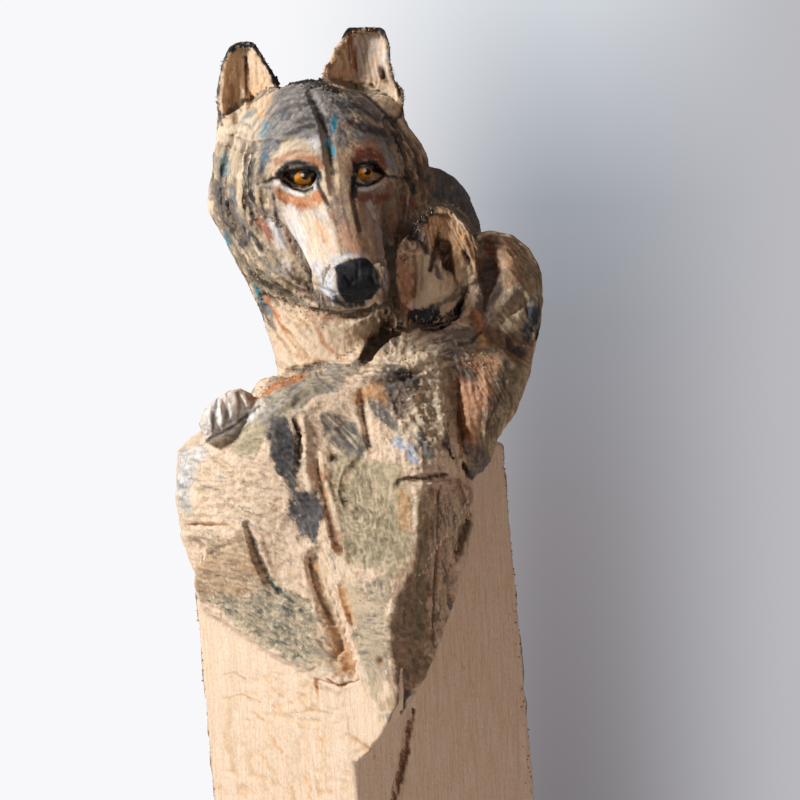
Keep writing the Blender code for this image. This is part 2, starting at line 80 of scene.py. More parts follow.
# the upper wolf's head: middle between the eyes, turn to the viewer's right, nod, tilt
upperHead = {
    "eyes": (-53.5, 792.0, -84.0), "yaw": 18.0, "nod": 41.0, "tilt": -7.0,
    "eyeApart": 27.5, "eyeball": (17.0, 14.0, 13.0), "socket": (21.0, 13.0, 10.5),
    "skull": (70.0, 76.0, 58.0), "muzzleLength": 129.0, "noseSize": (31.0, 15.0, 24.0),
}
rim = 8.0  # wall of an ear
farAway = 60.0  # value where no solid is near
reach = 42.0  # how far past its ball a solid counts


def spot(across, up, y=0.0):
    s = (viewer["distance"] + y) / viewer["distance"]
    x = (across - viewer["aside"]) * s + viewer["aside"]
    return np.array([x, y, viewer["up"] + (up - viewer["up"]) * s])


def seen(p):
    s = viewer["distance"] / (viewer["distance"] + p[:, 1])
    return (p[:, 0] - viewer["aside"]) * s + viewer["aside"], (p[:, 2] - viewer["up"]) * s + viewer["up"]


def turned(rx=0.0, ry=0.0, rz=0.0):
    a, b, c = radians(rx), radians(ry), radians(rz)
    aboutX = np.array([[1, 0, 0], [0, cos(a), -sin(a)], [0, sin(a), cos(a)]])
    aboutY = np.array([[cos(b), 0, sin(b)], [0, 1, 0], [-sin(b), 0, cos(b)]])
    aboutZ = np.array([[cos(c), -sin(c), 0], [sin(c), cos(c), 0], [0, 0, 1]])
    return aboutZ @ aboutY @ aboutX


def join(a, b, k):
    h = np.clip(0.5 + 0.5 * (b - a) / k, 0, 1)
    return b * (1 - h) + a * h - k * h * (1 - h)


def meet(a, b, k):
    return -join(-a, -b, k)


# Each solid is (distance function, centre, radius of the ball that holds it).
def lump(at, radii, turn=(0, 0, 0), frame=None):
    at = np.asarray(at, float)
    axes = turned(*turn)
    if frame is not None:
        axes = frame[0] @ axes
        at = frame[1] + frame[0] @ at
    r = np.asarray(radii, float)

    def distance(p):
        q = ((p - at) @ axes) / r
        near = np.sqrt((q * q).sum(1))
        q = q / r
        return near * (near - 1) / np.maximum(np.sqrt((q * q).sum(1)), 1e-6)
    return distance, at, r.max()


def limb(a, b, ra, rb, frame=None):
    a, b = np.asarray(a, float), np.asarray(b, float)
    if frame is not None:
        a = frame[1] + frame[0] @ a
        b = frame[1] + frame[0] @ b
    ab = b - a
    length2 = ab @ ab

    def distance(p):
        t = np.clip((p - a) @ ab / length2, 0, 1)
        v = p - (a + t[:, None] * ab)
        return np.sqrt((v * v).sum(1)) - (ra + t * (rb - ra))
    return distance, (a + b) / 2, np.sqrt(length2) / 2 + max(ra, rb)


def block(at, halfs, turn, edge, frame):
    axes = frame[0] @ turned(*turn)
    at = frame[1] + frame[0] @ np.asarray(at, float)
    h = np.asarray(halfs, float) - edge

    def distance(p):
        q = np.abs((p - at) @ axes) - h
        outside = np.maximum(q, 0)
        return np.sqrt((outside * outside).sum(1)) + np.minimum(q.max(1), 0) - edge
    return distance, at, np.sqrt((h * h).sum()) + edge


def cutPlane(at, normal):
    n = np.asarray(normal, float)
    n = n / np.sqrt(n @ n)
    at = np.asarray(at, float)
    return lambda p: (p - at) @ n


def insideOutline(points, u, w):
    nearest = np.full(len(u), 1e18)
    sign = np.ones(len(u))
    for a, b in zip(points, np.roll(points, -1, axis=0)):
        e = b - a
        wu, ww = u - a[0], w - a[1]
        t = np.clip((wu * e[0] + ww * e[1]) / (e @ e), 0, 1)
        nearest = np.minimum(nearest, (wu - e[0] * t) ** 2 + (ww - e[1] * t) ** 2)
        below, above, left = w >= a[1], w < b[1], e[0] * ww > e[1] * wu
        flips = (below & above & left) | (~below & ~above & ~left)
        sign = np.where(flips, -sign, sign)
    return sign * np.sqrt(nearest)


def pillow(points, middle, slope, thick, edge):
    # a front outline given thickness about the plane y = middle, with edges rounded off
    centre = points.mean(0)

    def distance(p):
        u, w = seen(p)
        y = p[:, 1] - (middle + slope[0] * (u - centre[0]) + slope[1] * (w - centre[1]))
        a = insideOutline(points, u, w) + edge
        b = (np.abs(y) - thick) / np.sqrt(1 + slope[0] ** 2 + slope[1] ** 2) + edge
        return np.sqrt(np.maximum(a, 0) ** 2 + np.maximum(b, 0) ** 2) + np.minimum(np.maximum(a, b), 0) - edge
    far = np.sqrt(((points - centre) ** 2).sum(1)).max()
    return distance, spot(centre[0], centre[1], middle), far + thick


def ear(base, tip, width, thick, opening, rows, fold):
    # a leaf with a folded hollow; rows: share of the height, then left and right edge as shares of the width
    base, tip = np.asarray(base, float), np.asarray(tip, float)
    ez = tip - base
    high = np.sqrt(ez @ ez)
    ez = ez / high
    ey = np.asarray(opening, float)
    ey = ey - (ey @ ez) * ez
    ey = ey / np.sqrt(ey @ ey)
    ex = np.cross(ez, ey)
    rows = np.asarray(rows, float)

    def distance(p):
        q = p - base
        x, y, z = q @ ex, q @ ey, q @ ez
        t = np.clip(z / high, -0.3, 1.05)
        left = np.interp(t, rows[:, 0], rows[:, 1]) * width
        right = np.interp(t, rows[:, 0], rows[:, 2]) * width
        mid = (left + right) / 2
        half = np.maximum((right - left) / 2, 3)
        deep = thick * (1 - 0.55 * np.clip(t, 0, 1))
        off = x - mid
        behind = -deep * (1 - 0.55 * (off / half) ** 2)
        leaf = np.maximum(np.maximum(np.abs(off) - half, y - 2), (behind - y) * 0.8)
        leaf = meet(meet(leaf, z - high, 5), -z - 30, 6)
        wall = rim + 2 * (1 - t)
        line = fold * half
        share = np.where(off < line, (line - off) / (half + line), (off - line) / (half - line))
        floor = -(deep - wall) * np.clip(1.04 - share, 0, 2)
        hollow = np.maximum(floor - y, np.abs(off) - half + wall * 0.85)
        hollow = np.maximum(np.maximum(hollow, z - high + 6), 6 - z)
        return meet(leaf, -hollow * 0.85, 3)
    return distance, (base + tip) / 2, high / 2 + width * 0.7 + 15


def rod(a, b, ra, rb, k):
    return "add", limb(spot(*a), spot(*b), ra, rb), k


def ball(at, radii, k, turn=(0, 0, 0)):
    return "add", lump(spot(*at), radii, turn), k


def build(rows, p, d=None):
    # rows of ("add" or "cut", solid, blend radius), each worked out only near its own ball
    d = np.full(len(p), farAway) if d is None else d.copy()
    for what, (distance, centre, radius), k in rows:
        near = ((p - centre) ** 2).sum(1) < (radius + reach) ** 2
        if not near.any():
            continue
        v = distance(p[near])
        d[near] = join(d[near], v, k) if what == "add" else meet(d[near], -v, k)
    return d


# Upper wolf

def headFrame():
    axes = turned(0, 0, upperHead["yaw"]) @ turned(upperHead["nod"]) @ turned(0, upperHead["tilt"])
    return axes, spot(*upperHead["eyes"])


def upperSkull():
    # in the head's own axes: x across, y back, z up, from the middle between the eyes
    f = headFrame()
    apart, long = upperHead["eyeApart"], upperHead["muzzleLength"]
    rows = [
        ("add", lump((0, 62, -21), upperHead["skull"], frame=f), 4),
        ("add", lump((0, 52, 6), (52, 60, 29), frame=f), 20),
        ("add", limb((0, 18, -30), (0, -78, -42), 56, 33, f), 18),
    ]
    for s in (-1, 1):
        rows += [
            ("add", lump((26 * s, 20, 15), (27, 34, 14), (10, 10 * s, 0), f), 9),
            ("add", lump((29 * s, -5, 13), (21, 9, 6), (12, 18 * s, 14 * s), f), 6),
            ("add", lump((52 * s, 22, -24), (28, 40, 30), frame=f), 20),
            ("add", limb((18 * s, -30, -32), (16 * s, 24 - long, -47), 22, 19, f), 12),
            ("add", lump((19 * s, 20 - long, -51), (18, 17, 19), frame=f), 8),
        ]
    rows += [
        ("add", limb((0, 10, 2), (0, 11 - long, -30), 24, 18, f), 14),
        ("add", limb((0, 10, -66), (0, 30 - long, -73), 36, 21, f), 14),
        ("add", block((0, -long, -44), upperHead["noseSize"], (14, 0, 0), 13, f), 3),
    ]
    for s in (-1, 1):
        rows += [
            ("cut", lump((apart * s + 2.5 * s, -13, 0), upperHead["socket"], (0, 12 * s, 22 * s), f), 5),
            ("add", lump((apart * s, 3, -0.5), upperHead["eyeball"], frame=f), 1.5),
            ("cut", lump((17 * s, -17 - long, -45), (8, 7, 6), frame=f), 3),
        ]
    return rows


maneOutline = places([-84,868, -39,866, -4,856, 18,842, 39,806, 46,784, 43,720, 26,680, 1,655, -39,642,
    -76,650, -110,667, -131,688, -151,719, -165,748, -171,775, -169,805, -162,835, -142,852, -114,864])
upperMane = [
    ("add", pillow(maneOutline, 14, (0, -0.1), 74, 62), 12),
    rod((-136, 822, 0), (-148, 755, -2), 25, 26, 14),
    rod((-146, 760, 0), (-114, 700, 4), 25, 29, 14),
    rod((-120, 830, -18), (-122, 760, -30), 20, 24, 10),
    rod((-122, 755, -28), (-92, 698, -36), 25, 24, 12),
    rod((-104, 710, -20), (-54, 672, -30), 34, 26, 16),
    ball((-84, 735, 10), (66, 66, 74), 20),
    ball((-70, 798, 34), (84, 66, 62), 22),
    ball((-39, 836, 10), (52, 60, 30), 14, (0, 10, 0)),
    rod((-12, 832, 0), (14, 790, 4), 28, 22, 16),
    rod((14, 798, 4), (16, 728, 6), 25, 28, 16),
    rod((-4, 810, -26), (4, 735, -36), 20, 20, 12),
]
upperEars = [
    ("add", ear(spot(-138, 820, -6), spot(-140, 919, -12), 66, 36, (-0.35, -1, 0.05), [
        (-0.3, -0.45, 0.45), (0, -0.42, 0.40), (0.2, -0.46, 0.44), (0.4, -0.47, 0.52), (0.62, -0.42, 0.46),
        (0.8, -0.36, 0.30), (0.93, -0.26, 0.18), (1.0, -0.12, 0.12)], -0.1), 7),
    ("add", ear(spot(-18, 836, -6), spot(-18, 933, -14), 80, 36, (0.10, -1, 0.05), [
        (-0.3, -0.35, 0.30), (0, -0.46, 0.40), (0.10, -0.53, 0.46), (0.24, -0.55, 0.48), (0.36, -0.56, 0.47),
        (0.46, -0.55, 0.36), (0.60, -0.52, 0.33), (0.66, -0.44, 0.31), (0.78, -0.40, 0.31),
        (0.85, -0.32, 0.29), (1.0, -0.24, 0.22)], -0.25), 7),
]
upperBody = [
    rod((-59, 695, 6), (-36, 540, 6), 58, 62, 12),
    rod((-112, 675, 0), (-66, 588, 6), 22, 30, 14),
    ball((46, 715, 52), (58, 54, 80), 18, (0, -6, 0)),
    ball((8, 630, 50), (88, 52, 130), 26),
    ball((11, 490, 45), (98, 58, 190), 30),
    ball((-34, 710, 55), (88, 46, 120), 26),
    ball((-126, 440, 38), (78, 58, 92), 26),
    ball((22, 690, 0), (48, 48, 80), 20),
]
pawOutline = places([-185,536, -180,550, -170,560, -156,569, -144,572, -132,567, -124,556, -126,545,
    -159,520, -178,517])
upperPaw = [
    rod((-54, 535, 10), (-109, 558, -22), 34, 26, 12),
    ("add", pillow(pawOutline, -62, (0.25, -0.1), 24, 18), 8),
]

# Lower wolf

lowerHeadOutline = places([78,712, 92,727, 106,730, 128,725, 145,710, 156,686, 159,660, 157,638, 149,618,
    145,592, 138,572, 126,552, 113,534, 104,512, 99,490, 87,480, 78,490, 71,530, 63,575, 56,610, 64,640,
    70,680])
lowerHead = [
    ("add", pillow(lowerHeadOutline, -52, (-0.12, 0.15), 50, 38), 8),
    ball((114, 675, -62), (38, 40, 44), 14, (0, 12, 0)),
    rod((116, 630, -70), (108, 560, -84), 34, 26, 14),
    rod((104, 570, -84), (92, 508, -92), 26, 17, 10),
    rod((84, 585, -92), (82, 520, -98), 13, 9, 8),
    ball((66, 615, -80), (38, 34, 32), 14),
    ball((140, 656, -84), (17, 16, 24), 8),
    rod((48, 660, -60), (56, 720, -62), 30, 22, 12),
    ball((28, 585, -88), (40, 34, 40), 20),
]
lowerEar = [
    ("add", ear(spot(54, 644, -84), spot(52, 752, -104), 82, 34, (-0.12, -1, 0.02), [
        (-0.3, -0.36, 0.24), (0, -0.44, 0.26), (0.25, -0.48, 0.46), (0.5, -0.50, 0.54), (0.66, -0.46, 0.50),
        (0.8, -0.30, 0.38), (0.93, -0.18, 0.24), (1.0, -0.10, 0.12)], 0.15), 7),
]
armOutline = places([-211,460, -206,510, -184,520, -156,542, -122,565, -84,587, -32,593, -28,490, -24,400,
    -30,340, -34,310, -26,281, -46,272, -70,279, -74,291, -112,309, -140,329, -178,352, -188,370, -184,394,
    -177,413, -200,420])
armBulges = [
    ball((-122, 480, -60), (62, 32, 66), 18, (0, 20, -36)),
    ball((-146, 400, -58), (44, 24, 40), 18, (0, 30, -36)),
    rod((-84, 540, -76), (36, 565, -76), 44, 42, 22),
]
chestOutline = places([-72,490, -78,520, -62,575, -19,596, 26,588, 61,560, 84,510, 90,465, 88,430, 83,404,
    67,354, 50,306, 31,266, 17,244, 0,227, -8,228, -4,236, -12,266, -22,288, -30,313, -46,340, -59,367,
    -68,410])
# flat cuts of the arm and the chest: place, outward direction, blend
armCuts = [
    (spot(-129, 420, -79), (-0.44, -0.9, 0), 12),
    (spot(-134, 540, -70), (-0.25, -0.62, 0.74), 24),
    (spot(-184, 440, -62), (-0.88, -0.47, 0.05), 10),
]
chestCuts = [
    (spot(4, 225, -112), (-0.15, -1.0, -0.6), 8),
    (spot(-24, 530, -135), (-0.1, -1.0, 0.6), 24),
    ((0, -20, 0), (0, 1, 0), 10),
]
# the forearm's underside slopes down to the log's face along a line in the front view
armBevel = {"corner": (-74.0, 292.0), "slant": 0.58, "proud": 10.0, "steep": 0.5}
# how far the arm's outline narrows towards the front, and how far back the arm goes from the log's face
armForm = {"narrowing": 0.25, "about": 20, "most": 30, "back": 60}
chestRidge = (32.0, 460.0, -166.0)
chestLeft = cutPlane(spot(*chestRidge), (-0.55, -0.832, 0.071))
# right of the ridge: the side's direction (across, back), and a deeper facet that ends below a slope
chestFacet = {"side": (0.647, -0.762), "facing": (0.62, -0.78), "deep": 26.0, "slope": (0.57, -0.82),
              "below": 37.0, "soft": 30.0}
# what is left of the log's corner under the chest, as seen in front
cornerOutline = places([-50,330, -50,196, -27,196, -21,203, -12,208, -4,220, 6,238, 14,256, 15,282, 7,330])

# Grooves: radius, depth, places of the line in front view
grooves = {
    "forehead furrow": (5, 4, -73,868, -65,850, -59,837, -55,812, -52,785, -51,768),
    "left cheek": (5.5, 6, -137,810, -141,782, -134,746),
    "left temple": (4, 4, -122,798, -120,755),
    "left ruff": (6, 5, -161,810, -160,765, -148,728, -128,698),
    "lower ruff": (5, 4, -132,735, -104,702, -70,670),
    "left eye corner": (3.5, 3, -128,777, -108,779),
    "right ruff": (6, 6, 4,838, 18,795, 18,746),
    "under the jaw": (6, 6, -122,662, -84,646, -42,640, -4,655),
    "below the left ear": (5, 4, -160,822, -138,813, -110,818),
    "neck": (5, 4, -120,652, -104,625, -86,598),
    "neck meets shoulder": (6, 6, -98,586, -54,595, -20,599, 0,625),
    "under the lower ear": (5, 6, 28,634, 56,640, 72,655, 86,676),
    "neck meets muzzle": (9, 8, 62,604, 70,565, 76,522, 85,480),
    "temple hollow": (13, 5, 104,705, 108,680, 108,655),
    "lower cheek": (5, 4, 102,630, 121,620, 142,622),
    "breast slot": (3, 4, 15,477, 36,480, 64,484),
    "side slot": (3.5, 4, 87,445, 75,405),
    "shoulder channel": (5, 6, -71,496, -62,475, -55,444, -46,410),
    "shoulder edge": (3, 3, -87,540, -84,513, -87,488),
    "arm meets chest": (14, 8, -72,402, -66,378, -58,350, -47,322, -36,300),
    "depth of that gap": (9, 10, -72,398, -64,372, -54,345, -43,320, -31,288),
    "chest scar": (4, 4, -43,374, -34,336),
    "forearm": (3.5, 4, -138,436, -127,404, -117,379),
    "forearm crack": (4, 4, -117,379, -104,368, -90,360, -74,354),
    "breast crack": (3.5, 4, -23,568, -20,544, -15,525, -12,508),
    "breast whorl": (3.5, 4, -24,501, -38,483, -41,467, -36,453, -25,442),
    "first toe": (3, 4, -170,558, -168,540, -167,524),
    "second toe": (2.5, 3, -160,562, -157,545, -156,528),
    "third toe": (3, 4, -144,568, -142,552, -141,538),
    "saw kerf": (5.5, 4, 28,248, 24,215, 18,185, 12,155, 0,98),
}


def logFace(p, normal, out=0.0):
    n = np.array([normal[0], normal[1], 0.0])
    n = n / np.sqrt(n @ n)
    x = p[:, 0] - log["lean"] * p[:, 2] - log["corner"][0]
    return x * n[0] + (p[:, 1] - log["corner"][1]) * n[1] - out


def barkArc(p):
    x = p[:, 0] - log["lean"] * p[:, 2] - log["pith"][0]
    return np.sqrt(x * x + (p[:, 1] - log["pith"][1]) ** 2) - log["radius"]


def trunk(p):
    d = meet(barkArc(p), logFace(p, log["leftFace"]), log["edge"])
    d = meet(d, logFace(p, log["rightFace"]), log["edge"])
    u, w = seen(p)
    corner = np.maximum(insideOutline(cornerOutline, u, w), p[:, 1] + log["cornerBack"])
    corner = meet(corner, np.maximum(logFace(p, log["leftFace"]), chestLeft(p)), log["edge"])
    d = join(d, corner, 3)
    d = meet(d, p[:, 2] - log["shelf"], 10)
    return meet(d, -p[:, 2], 1.5)


def lowerArm(p):
    u, w = seen(p)
    d = insideOutline(armOutline, u, w)
    most = armForm["most"]
    d = d + armForm["narrowing"] * np.clip(logFace(p, log["leftFace"], armForm["about"]), -most, most)
    d = meet(d, -logFace(p, log["leftFace"], -armForm["back"]), 10)
    d = meet(d, barkArc(p), 20)
    for at, normal, k in armCuts:
        d = meet(d, cutPlane(at, normal)(p), k)
    d = build(armBulges, p, d)
    rise = w - armBevel["corner"][1] + armBevel["slant"] * (u - armBevel["corner"][0])
    return meet(d, (logFace(p, log["leftFace"], armBevel["proud"]) - armBevel["steep"] * rise) / 1.15, 4)


def lowerChest(p):
    u, w = seen(p)
    q = p - spot(*chestRidge)
    x = q[:, 0] - log["lean"] * q[:, 2]
    d = insideOutline(chestOutline, u, w) - 0.22 * (p[:, 1] + 130) * np.clip((20 - u) / 40, 0, 1)
    d = meet(d, chestLeft(p), 12)
    (a, b), (c, e), (f, g) = chestFacet["side"], chestFacet["facing"], chestFacet["slope"]
    d = meet(d, x * a + q[:, 1] * b, 10)
    facet = x * c + q[:, 1] * e + chestFacet["deep"]
    above = q[:, 2] * f + q[:, 0] * g + chestFacet["below"]
    d = meet(d, -meet(-facet, above, chestFacet["soft"]), 5)
    for at, normal, k in chestCuts:
        d = meet(d, cutPlane(at, normal)(p), k)
    return d


def plainForm(p):
    d = join(trunk(p), join(lowerArm(p), lowerChest(p), 8), 6)
    d = join(d, meet(build(upperBody, p), barkArc(p), 16), 8)
    d = join(d, build(upperPaw, p), 5)
    d = join(d, build(lowerHead, p), 8)
    d = join(d, build(upperMane, p, build(skullRows, p)), 7)
    return build(lowerEar, p, build(upperEars, p, d))


def ontoForm(points):
    # from the front along the line of sight until the form is met
    y = np.full(len(points), -260.0)  # in front of all
    for _ in range(70):
        s = ((viewer["distance"] + y) / viewer["distance"])[:, None]
        flat = (points - [viewer["aside"], viewer["up"]]) * s + [viewer["aside"], viewer["up"]]
        q = np.stack([flat[:, 0], y, flat[:, 1]], 1)
        y = y + np.clip(plainForm(q) * 0.7, -4, 16)  # less than the whole way, so as not to pass it
    return q


def spaced(path, gap):
    along = np.r_[0, np.cumsum(np.sqrt((np.diff(path, axis=0) ** 2).sum(1)))]
    t = np.linspace(0, along[-1], max(2, int(along[-1] / gap) + 1))
    return np.stack([np.interp(t, along, path[:, 0]), np.interp(t, along, path[:, 1])], 1)


def carveRows():
    paths = [spaced(places(path), 7) for radius, depth, *path in grooves.values()]
    traced = ontoForm(np.concatenate(paths))
    eye = np.array([viewer["aside"], -viewer["distance"], viewer["up"]])
    rows, start = [], 0
    for path, (radius, depth, *_) in zip(paths, grooves.values()):
        points = traced[start:start + len(path)]
        start += len(path)
        sight = points - eye
        sight = sight / np.sqrt((sight ** 2).sum(1))[:, None]
        taper = 0.5 + 0.5 * np.sqrt(np.sin(np.linspace(0.12, 0.88, len(path)) * pi))
        points = points - sight * ((radius - depth) * taper)[:, None]
        for i in range(len(path) - 1):
            rows.append(("cut", limb(points[i], points[i + 1], radius * taper[i], radius * taper[i + 1]), 3))
    return rows


def carvedForm(p):
    return np.maximum(build(grooveRows, p, plainForm(p)), -p[:, 2])


skullRows = upperSkull()
grooveRows = carveRows()
print("forms and grooves laid out")

# Meshes. Each piece of the carving is what lies in its box; neighbours meet on flat faces inside. "without"
# leaves to a neighbour what is right of the first number and between the two heights after it.
detail = {"fine": 4 / 3, "close": 1.6, "plain": 2.0, "coarse": 8 / 3, "quick": 2.0, "settle": 0.3}
pieces = {
    "upper_wolf_ears": {"low": (-232, -222, 848), "high": (196, 32, 968), "mesh": "fine"},
    "upper_wolf_head": {"low": (-232, -222, 640), "high": (196, 32, 848), "mesh": "fine",
                        "without": (16, 600, 752)},
    "upper_wolf_back": {"low": (-232, 32, 496), "high": (196, 136, 968), "mesh": "plain"},
    "lower_wolf_head": {"low": (16, -222, 496), "high": (196, 32, 752), "mesh": "fine"},
    "shoulder_and_chest": {"low": (-232, -222, 464), "high": (196, 32, 640), "mesh": "close",
                           "without": (16, 496, 700)},
    "foreleg_and_breast": {"low": (-232, -222, 240), "high": (196, 32, 464), "mesh": "close"},
    "sawn_trunk": {"low": (-232, -222, -8), "high": (196, 32, 240), "mesh": "coarse"},
    "bark_trunk": {"low": (-232, 32, -8), "high": (196, 136, 496), "mesh": "coarse"},
}
workers = ThreadPoolExecutor(4)


def inChunks(work, *arrays):
    size = 30000
    starts = range(0, len(arrays[0]), size)
    return np.concatenate(list(workers.map(lambda s: work(*[a[s:s + size] for a in arrays]), starts)))


def halved(v):
    for axis in range(3):
        v = np.moveaxis(v, axis, 0)
        out = np.empty((v.shape[0] * 2 - 1,) + v.shape[1:], v.dtype)
        out[::2] = v
        out[1::2] = (v[1:] + v[:-1]) * 0.5
        v = np.moveaxis(out, 0, axis)
    return np.ascontiguousarray(v)


def gridOf(low, count, step):
    # coarse first, then only near the surface
    def sampled(cells, size):
        return inChunks(lambda q: carvedForm(low + q * size).astype(np.float32), cells)
    size = step * 4
    n = (count - 1) // 4 + 1
    v = sampled(np.indices(n).reshape(3, -1).T, size).reshape(n)
    while size > step * 1.01:
        v = halved(v)
        near = np.abs(v) < size * 1.7
        near[::2, ::2, ::2] = False
        size /= 2
        v[near] = sampled(np.argwhere(near), size)
    return v


def withoutCrossings(v, little):
    # grid faces whose corners alternate would give an edge with four faces, so they are filled
    for _ in range(12):
        changed = False
        for axis in range(3):
            a, b = [i for i in range(3) if i != axis]
            corners = []
            for da, db in ((0, 0), (1, 0), (0, 1), (1, 1)):
                part = [slice(None)] * 3
                part[a] = slice(da, v.shape[a] - 1 + da)
                part[b] = slice(db, v.shape[b] - 1 + db)
                corners.append(tuple(part))
            c = [v[part] < 0 for part in corners]
            bad = (c[0] == c[3]) & (c[1] == c[2]) & (c[0] != c[1])
            if bad.any():
                changed = True
                for part in corners:
                    here = v[part]
                    here[bad & (here >= 0)] = -little
        if not changed:
            break
    return v


def surfaceOf(v, there, low, step):
    # points and four-sided faces of v = 0; where the piece is cut off its faces lie on the cut
    inside = v < 0
    n = np.array(v.shape)
    corners = [(i, j, k) for i in (0, 1) for j in (0, 1) for k in (0, 1)]
    count = sum(inside[i:n[0] - 1 + i, j:n[1] - 1 + j, k:n[2] - 1 + k].astype(np.int8) for i, j, k in corners)
    active = (count > 0) & (count < 8)
    cells = np.argwhere(active)
    index = np.full(active.shape, -1, np.int32)
    index[active] = np.arange(len(cells))
    value = {c: v[tuple((cells + c).T)].astype(float) for c in corners}
    kept = {c: there[tuple((cells + c).T)] for c in corners}
    total, hits = np.zeros((len(cells), 3)), np.zeros(len(cells))
    cutTotal, cutHits = np.zeros((len(cells), 3)), np.zeros(len(cells))
    cut = np.zeros((len(cells), 3), bool)
    for a in corners:
        for axis in range(3):
            if a[axis]:
                continue
            b = tuple(1 if i == axis else a[i] for i in range(3))
            first = value[a] < 0
            crosses = first != (value[b] < 0)
            real = crosses & np.where(first, kept[b], kept[a])
            t = np.where(real, value[a] / np.where(crosses, value[a] - value[b], 1), np.where(first, 0, 1))
            at = np.array(a) + t[:, None] * (np.array(b) - np.array(a))
            total += at * real[:, None]
            hits += real
            off = crosses & ~real
            cutTotal += at * off[:, None]
            cutHits += off
            cut[:, axis] |= off
    own = hits > 0
    local = np.where(own[:, None], total / np.maximum(hits, 1)[:, None],
                     cutTotal / np.maximum(cutHits, 1)[:, None])
    points = low + step * (cells + local)
    faces, caps = [], []
    for axis in range(3):
        a, b = (axis + 1) % 3, (axis + 2) % 3
        first, second = [slice(None)] * 3, [slice(None)] * 3
        first[axis], second[axis] = slice(0, n[axis] - 1), slice(1, n[axis])
        first, second = tuple(first), tuple(second)
        edges = np.argwhere(inside[first] != inside[second])
        started = inside[first][tuple(edges.T)]
        outerKept = np.where(started, there[second][tuple(edges.T)], there[first][tuple(edges.T)])
        ring = []
        for da, db in ((1, 1), (0, 1), (0, 0), (1, 0)):
            cell = edges.copy()
            cell[:, a] -= da
            cell[:, b] -= db
            ring.append(index[tuple(cell.T)])
        quads = np.stack(ring, 1)
        quads[~started] = quads[~started][:, ::-1]
        faces.append(quads)
        plane = 1 + axis + 3 * started + 6 * (edges[:, axis] + ~started)
        caps.append(np.where(outerKept, 0, plane))
    return points, np.concatenate(faces), np.concatenate(caps), own, cut


def flatCaps(points, faces, caps):
    # the cut faces, each redone with few triangles between the points of its outline
    code = np.array([len(points), 1])  # makes one number of an edge's two ends
    made, taken = [], np.empty(0, np.int64)
    for plane in np.unique(caps[caps > 0]):
        group = faces[caps == plane]
        a, b = group.ravel(), np.roll(group, -1, axis=1).ravel()
        border = ~np.isin(np.stack([a, b], 1) @ code, np.stack([b, a], 1) @ code)
        after = {}
        for start, end in zip(a[border].tolist(), b[border].tolist()):
            after.setdefault(start, []).append(end)
        loops = []
        while after:
            loop = [next(iter(after))]
            while True:
                here = loop[-1]
                step = after[here].pop()
                if not after[here]:
                    del after[here]
                if step == loop[0]:
                    break
                loop.append(step)
            loops.append(loop)
        order = np.array([i for loop in loops for i in loop])
        parts = tessellate_polygon([[Vector(points[i]) for i in loop] for loop in loops])
        parts = order[np.array([tri for tri in parts])]
        corner = points[parts]
        facing = np.cross(corner[:, 1] - corner[:, 0], corner[:, 2] - corner[:, 0])
        quad = points[group]
        outward = np.cross(quad[:, 1] - quad[:, 0], quad[:, 2] - quad[:, 0]).sum(0)
        wrong = facing @ outward < 0
        parts[wrong] = parts[wrong][:, ::-1]
        ends = np.stack([parts, np.roll(parts, -1, axis=1)], 2).reshape(-1, 2)
        loose = np.setdiff1d(ends @ code, ends[:, ::-1] @ code)
        whole = np.array_equal(np.sort(np.stack([a[border], b[border]], 1) @ code), loose)
        # an inner edge that another cap has too would get four faces
        edges, times = np.unique(np.sort(ends, 1) @ code, return_counts=True)
        whole = whole and not np.isin(edges[times > 1], taken).any()
        taken = np.concatenate([taken, edges])
        made.append(parts if whole else np.concatenate([group[:, [0, 1, 2]], group[:, [0, 2, 3]]]))
    return np.concatenate(made)


def ontoSurface(points, fixed):
    # closer to the form along its slope; gives the points and the form's outward direction there
    h = detail["settle"]
    v = carvedForm(points)
    slope = np.stack([(carvedForm(points + h * np.eye(3)[i]) - v) / h for i in range(3)], 1)
    size = np.maximum((slope ** 2).sum(1), 0.05)
    move = np.clip(-v / size, -1, 1)[:, None] * slope
    move[fixed] = 0
    return np.concatenate([points + move, slope / np.sqrt(size)[:, None]], 1)


def cutPiece(name):
    box = pieces[name]
    step = detail[box["mesh"]] * 1
    first = np.floor(np.array(box["low"]) / step).astype(int) - 1
    last = np.ceil(np.array(box["high"]) / step).astype(int) + 1
    low = first * step
    count = (last - first + 3) // 4 * 4 + 1
    v = gridOf(low, count, step)
    x, y, z = [low[i] + step * np.arange(count[i]) for i in range(3)]
    small = step * 0.01
    there = np.ones(v.shape, bool)
    for axis, at in enumerate((x, y, z)):
        ok = (at >= box["low"][axis] - small) & (at <= box["high"][axis] + small)
        there &= ok.reshape([-1 if i == axis else 1 for i in range(3)])
    if "without" in box:
        side, under, over = box["without"]
        between = (z > under + small) & (z < over - small)
        there &= ~((x > side + small)[:, None, None] & between[None, None, :])
    v = np.where(there, v, step)
    v = withoutCrossings(v, step * 0.02)
    points, faces, caps, own, cut = surfaceOf(v, there, low, step)
    both = inChunks(ontoSurface, points[own], cut[own])
    points[own] = both[:, :3]
    out = np.zeros_like(points)
    out[own] = both[:, 3:]
    points[:, 2] = np.maximum(points[:, 2], 0)
    closing = flatCaps(points, faces, caps)
    faces = faces[caps == 0]
    used = np.zeros(len(points), bool)
    used[faces.ravel()] = True
    used[closing.ravel()] = True
    renamed = np.cumsum(used) - 1
    print(name, int(used.sum()), "points", 2 * len(faces) + len(closing), "triangles")
    return {"name": name, "points": points[used], "out": out[used], "faces": renamed[faces],
            "caps": renamed[closing]}


carved = [cutPiece(name) for name in pieces]

# Relief: strokes of gouge and chisel, saw marks, bark and splits, as small moves along the surface's normals

